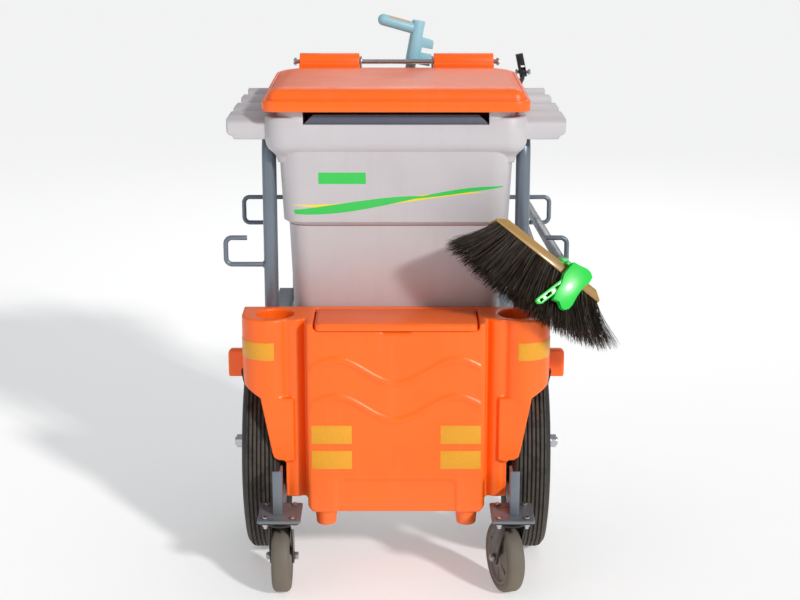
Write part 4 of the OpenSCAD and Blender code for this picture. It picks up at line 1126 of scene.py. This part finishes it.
@dataclass
class WeldBeads:
    """The welds that hold the front rod hooks on the frame's tubes."""

    tube_x: float = 281.0
    tube_radius: float = 16.0
    hook_z: float = 708.0
    hook_radius: float = 5.5

    def saddle(self, x: float, y: float, z: float, side: int) -> list[Vector]:
        """Gives the closed line where a rod that runs along X meets an upright tube.

        Args:
            x: The tube's middle.
            y: The rod's and the tube's middle.
            z: The rod's height.
            side: Which way the rod goes, 1 or -1.

        Returns:
            The line's points.
        """
        line = []
        for step in range(24):
            turn = math.tau * step / 24
            off_y = (self.hook_radius + 0.6) * math.cos(turn)
            off_z = (self.hook_radius + 0.6) * math.sin(turn)
            off_x = math.sqrt((self.tube_radius + 0.4) ** 2 - off_y ** 2)
            line.append(at(x + side * off_x, y + off_y, z + off_z))
        return line

    def build(self) -> None:
        """Lays a bead round the foot of each front hook."""
        low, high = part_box("front_hook_right")
        y = (low[1] + high[1]) / 2 * 1000.0 + SHIFT_Y
        points: list[Vector] = []
        edges: list[tuple[int, int]] = []
        for side in (-1, 1):
            line = self.saddle(side * self.tube_x, y, self.hook_z, side)
            edges += [(len(points) + i, len(points) + (i + 1) % len(line)) for i in range(len(line))]
            points += line
        mesh = bpy.data.meshes.new("weld_beads")
        mesh.from_pydata([tuple(p) for p in points], edges, [])
        piece = bpy.data.objects.new("weld_beads", mesh)
        bpy.context.scene.collection.objects.link(piece)
        bead_tree().grow(piece, Step=0.0019, Radius=0.0021, Material=FRAME_PAINT.material())
        smooth_by_angle(piece, 60.0)
        settle(piece, FRAME_PAINT, body_of_node("front_hook_right"))


@dataclass
class BinLid:
    """The orange lid: a thin dish with a rounded crown over a narrow lip, and its hinge barrels."""

    half: float = 290.0
    front: float = -200.0
    rear: float = 372.0
    low: float = 1064.3
    lip: float = 1088.3
    wall: float = 5.0
    slope: float = 22.0
    crown_in: tuple[float, ...] = (11.2, 13.0, 20.0, 46.0)
    crown_up: tuple[float, ...] = (3.0, 15.0, 24.6, 26.6)
    bore_radius: float = 8.4
    barrel_ends: tuple[float, float] = (92.0, 239.0)
    barrel_y: float = 391.0
    barrel_z: float = 1102.0
    barrel_radius: float = 21.0

    def ring(self, inset: float, z: float, slope: float = 0.0) -> list[Vector]:
        """Gives the lid's outline at some distance inside its edge.

        Args:
            inset: That distance.
            z: The outline's height at the front.
            slope: How much it falls to the rear.

        Returns:
            The outline's points, the same number for each call.
        """
        half, front, rear = self.half - inset, self.front + inset, self.rear - inset
        near = min(max(34.0 - inset, 4.0), half * 0.9)
        far = min(max(92.0 - inset, 8.0), half * 0.9, (rear - front) * 0.45)
        corners = ((half - near, front + near, near, -90.0), (half - far, rear - far, far, 0.0),
                   (-half + far, rear - far, far, 90.0), (-half + near, front + near, near, 180.0))
        points: list[tuple[float, float]] = []
        for number, (x, y, radius, start) in enumerate(corners):
            for step in range(17):
                turn = math.radians(start + 90.0 * step / 16)
                points.append((x + radius * math.cos(turn), y + radius * math.sin(turn)))
            nx, ny, nr, ns = corners[(number + 1) % 4]
            goal = (nx + nr * math.cos(math.radians(ns)), ny + nr * math.sin(math.radians(ns)))
            last = points[-1]
            points += [(last[0] + (goal[0] - last[0]) * k / 12, last[1] + (goal[1] - last[1]) * k / 12)
                       for k in range(1, 12)]
        return [at(x, y, z - slope * (y - self.front) / (self.rear - self.front)) for x, y in points]

    def profile(self) -> list[tuple[float, float, float]]:
        """Gives the outer skin from the lip's foot to the crown as inset, height and slope."""
        lip = self.lip
        rise = [(1.6, self.low, 0.0), (0.4, self.low + 0.6, 0.0), (0.0, self.low + 2.0, 0.0),
                (0.0, lip - 3.0, 0.0),
                (0.6, lip - 1.2, 0.0), (2.2, lip - 0.1, 0.0), (6.4, lip - 0.2, 0.0), (7.6, lip - 1.0, 0.0),
                (8.4, lip - 2.6, 0.0), (9.6, lip - 2.6, 0.0), (10.4, lip - 1.0, 0.0), (10.8, lip + 1.4, 0.6)]
        for step in range(1, 13):
            t = step / 12
            weights = ((1 - t) ** 3, 3 * (1 - t) ** 2 * t, 3 * (1 - t) * t * t, t ** 3)
            out = sum(weight * end for weight, end in zip(weights, self.crown_in))
            up = sum(weight * end for weight, end in zip(weights, self.crown_up))
            rise.append((out, lip + up, self.slope * min(1.0, max(0.0, (up - 3.0) / 19.0))))
        return rise

    def skin(self, drop: float) -> list[list[Vector]]:
        """Gives all rings of one side of the wall.

        Args:
            drop: How far this side lies inside the outer skin.

        Returns:
            The rings from the foot to the middle.
        """
        rings = []
        for inset, z, slope in self.profile():
            if drop and z > self.low + 1.0:
                rings.append(self.ring(inset + drop, z - (drop if z >= self.lip - 3.0 else 0.0), slope))
            else:
                rings.append(self.ring(inset + drop - (1.2 if drop else 0.0), z, slope))
        top = self.lip + self.crown_up[-1] - drop
        for inset in (75.0, 110.0, 150.0, 190.0, 230.0, 262.0):
            dome = 1.6 * min(1.0, (inset - 46.0) / 150.0)
            rings.append(self.ring(inset, top + dome, self.slope))
        return rings

    def dish(self) -> bpy.types.Object:
        """Makes the dish with its wall.

        Returns:
            The closed piece.
        """
        points: list[Vector] = []
        faces: list[tuple[int, ...]] = []
        outer, inner = self.skin(0.0), self.skin(self.wall)
        rings = inner[::-1] + outer
        count = len(outer[0])
        for ring in rings:
            points += ring
        for row in range(len(rings) - 1):
            for k in range(count):
                a, b = row * count + k, row * count + (k + 1) % count
                faces.append((a, b, b + count, a + count))
        faces.append(tuple(range(count - 1, -1, -1)))
        faces.append(tuple((len(rings) - 1) * count + k for k in range(count)))
        return new_piece("lid_dish", points, faces)

    def barrel(self, name: str, start: float, stop: float) -> bpy.types.Object:
        """Makes one hinge barrel with the block that joins it to the dish.

        Args:
            name: The piece's name.
            start: Its inner end along X.
            stop: Its outer end.

        Returns:
            The closed piece.
        """
        outline: list[tuple[float, float]] = []
        inside: list[tuple[float, float]] = []
        for step in range(73):
            turn = math.radians(180.0 + 5.0 * step)
            radius = self.barrel_radius
            if step <= 18:
                along, down = abs(math.cos(turn)), abs(math.sin(turn))
                radius = max(radius, min(43.0 / max(along, 1e-6), 18.7 / max(down, 1e-6)))
            outline.append((self.barrel_y + radius * math.cos(turn), self.barrel_z + radius * math.sin(turn)))
            inside.append((self.barrel_y + self.bore_radius * math.cos(turn),
                           self.barrel_z + self.bore_radius * math.sin(turn)))
        count = len(outline)
        points = [at(x, y, z) for x in (start, stop) for loop in (outline, inside) for y, z in loop]
        faces: list[tuple[int, ...]] = []
        for k in range(count):
            n = (k + 1) % count
            faces += [(k, n, 2 * count + n, 2 * count + k),
                      (count + n, count + k, 3 * count + k, 3 * count + n),
                      (n, k, count + k, count + n),
                      (2 * count + k, 2 * count + n, 3 * count + n, 3 * count + k)]
        return new_piece(name, points, faces)

    def build(self) -> None:
        """Makes the dish and the two barrels."""
        body = body_of_node("bin_lid")
        near, far = self.barrel_ends
        pieces = [self.dish(), self.barrel("lid_barrel_left", -far, -near),
                  self.barrel("lid_barrel_right", near, far)]
        for piece in pieces:
            work = bmesh.new()
            work.from_mesh(piece.data)
            bmesh.ops.remove_doubles(work, verts=work.verts, dist=1e-6)
            bmesh.ops.recalc_face_normals(work, faces=work.faces)
            work.to_mesh(piece.data)
            work.free()
            if piece.name.startswith("lid_barrel"):
                bevel = piece.modifiers.new("Soft edges", "BEVEL")
                bevel.width = 0.0018
                bevel.segments = 3
                bevel.limit_method = "ANGLE"
                bevel.angle_limit = math.radians(40)
                applied(piece)
            smooth_by_angle(piece, 45.0)
            settle(piece, ORANGE, body, "bin_lid")


@dataclass
class PlainPieces:
    """Every solid that keeps its shape and gets rounded edges and its finish."""

    widths: dict[str, float] = field(default_factory=dict)
    left_alone: tuple[str, ...] = ()

    def build(self) -> None:
        """Refines each node that no other class makes."""
        for node in frame["nodes"]:
            if node not in self.left_alone:
                refined(node, self.widths.get(node, 0.6))


@dataclass
class MouldedBox:
    """The orange tool box, whose edges are all soft as on a rotation moulding."""

    voxel: float = 2.6
    passes: int = 8
    most_faces: int = 170000

    def build(self) -> None:
        """Makes the box from its solid, with every edge smoothed."""
        piece = merged_copy("tool_box", "tool_box_moulding")
        remesh = piece.modifiers.new("Skin", "REMESH")
        remesh.mode = "VOXEL"
        remesh.voxel_size = self.voxel / 1000.0
        soften = piece.modifiers.new("Soft edges", "SMOOTH")
        soften.factor = 0.5
        soften.iterations = self.passes
        applied(piece)
        thin = piece.modifiers.new("Fewer faces", "DECIMATE")
        count = sum(len(face.vertices) - 2 for face in piece.data.polygons)
        thin.ratio = min(1.0, self.most_faces / count)
        applied(piece)
        for face in piece.data.polygons:
            face.use_smooth = True
        settle(piece, ORANGE, body_of_node("tool_box"), "tool_box")


@dataclass
class Studio:
    """The camera, the lights and the floor."""

    height: float = 1600.0
    foot: float = -3750.0
    side: float = 8.5
    pitch: float = 15.0
    lens: float = 75.0
    glow: float = 0.28

    def camera(self) -> None:
        """Puts the camera where the photograph was taken from."""
        data = bpy.data.cameras.new("Camera")
        data.sensor_width = 36.0
        data.lens = self.lens
        data.clip_end = 60.0
        camera = bpy.data.objects.new("Camera", data)
        camera.location = at(self.side, self.foot, self.height)
        camera.rotation_euler = (math.radians(90.0 - self.pitch), 0.0, 0.0)
        bpy.context.scene.collection.objects.link(camera)
        bpy.context.scene.camera = camera

    def lamp(self, name: str, place: Point, size: float, power: float) -> None:
        """Hangs a soft square lamp that points at the cart.

        Args:
            name: The lamp's name.
            place: Where it hangs, in metres.
            size: Its side, in metres.
            power: Its power in watts.
        """
        data = bpy.data.lights.new(name, "AREA")
        data.size = size
        data.energy = power
        lamp = bpy.data.objects.new(name, data)
        lamp.location = place
        lamp.rotation_euler = (Vector(place) - Vector((0.0, 0.0, 0.6))).to_track_quat("Z", "Y").to_euler()
        bpy.context.scene.collection.objects.link(lamp)

    def sun(self, name: str, direction: Point, power: float, angle: float, colour: Colour) -> None:
        """Adds a far lamp whose light comes from one direction.

        Args:
            name: The lamp's name.
            direction: Where the light comes from.
            power: Its strength.
            angle: How wide it looks, in degrees, which softens its shadows.
            colour: Its light's colour.
        """
        data = bpy.data.lights.new(name, "SUN")
        data.energy = power
        data.angle = math.radians(angle)
        data.color = colour
        lamp = bpy.data.objects.new(name, data)
        lamp.rotation_euler = Vector(direction).to_track_quat("Z", "Y").to_euler()
        bpy.context.scene.collection.objects.link(lamp)

    def floor(self) -> None:
        """Lays a pale floor that fills the whole picture."""
        half, near, far = 16.0, -12.0, 34.0
        corners = [Vector((x, y, 0.0)) for x, y in ((-half, near), (half, near), (half, far), (-half, far))]
        sheet = new_piece("studio_floor", corners, [(0, 1, 2, 3)])
        finish = Finish("Studio floor", Slot.GREY, (0.86, 0.86, 0.86), (0.84, 0.84, 0.84), rough=0.8,
                        dust_amount=0.0, dust_up=0.0, streaks=0.0)
        material = finish.material()
        shader = next(node for node in material.node_tree.nodes if node.type == "BSDF_PRINCIPLED")
        shader.inputs["Emission Color"].default_value = (1.0, 1.0, 1.0, 1.0)
        shader.inputs["Emission Strength"].default_value = self.glow
        sheet.data.materials.append(material)

    def build(self) -> None:
        """Sets up the camera, the lights, the floor and the room's own light."""
        self.camera()
        self.floor()
        self.sun("Key", (0.78, -1.0, 0.66), 2.35, 5.0, (1.0, 0.985, 0.96))
        self.lamp("Fill", (-3.0, -3.0, 1.6), 2.6, 14.0)
        self.lamp("Back", (0.6, 3.4, 3.0), 2.4, 24.0)
        world = bpy.data.worlds.new("Room")
        world.use_nodes = True
        world.node_tree.nodes["Background"].inputs[0].default_value = (0.95, 0.97, 1.0, 1.0)
        world.node_tree.nodes["Background"].inputs[1].default_value = 0.40
        bpy.context.scene.world = world
        bpy.context.scene.view_settings.view_transform = "Standard"


def main() -> None:
    """Builds the studio and every sub-assembly."""
    logging.basicConfig(level=logging.INFO, format="%(message)s")
    Studio().build()
    MouldedBox().build()
    BinLid().build()
    Broom().build()
    WeldBeads().build()
    widths = {"bin_shell": 1.4, "broom_clamp": 2.0, "broom_clamp_lever": 1.4, "tool_grip": 1.2,
              "broom_block": 1.0, "tool_box_lid": 1.5, "sack_bar": 1.5}
    PlainPieces(widths=widths, left_alone=("tool_box", "bin_lid", "broom_bristles")).build()


if __name__ == "__main__":
    main()
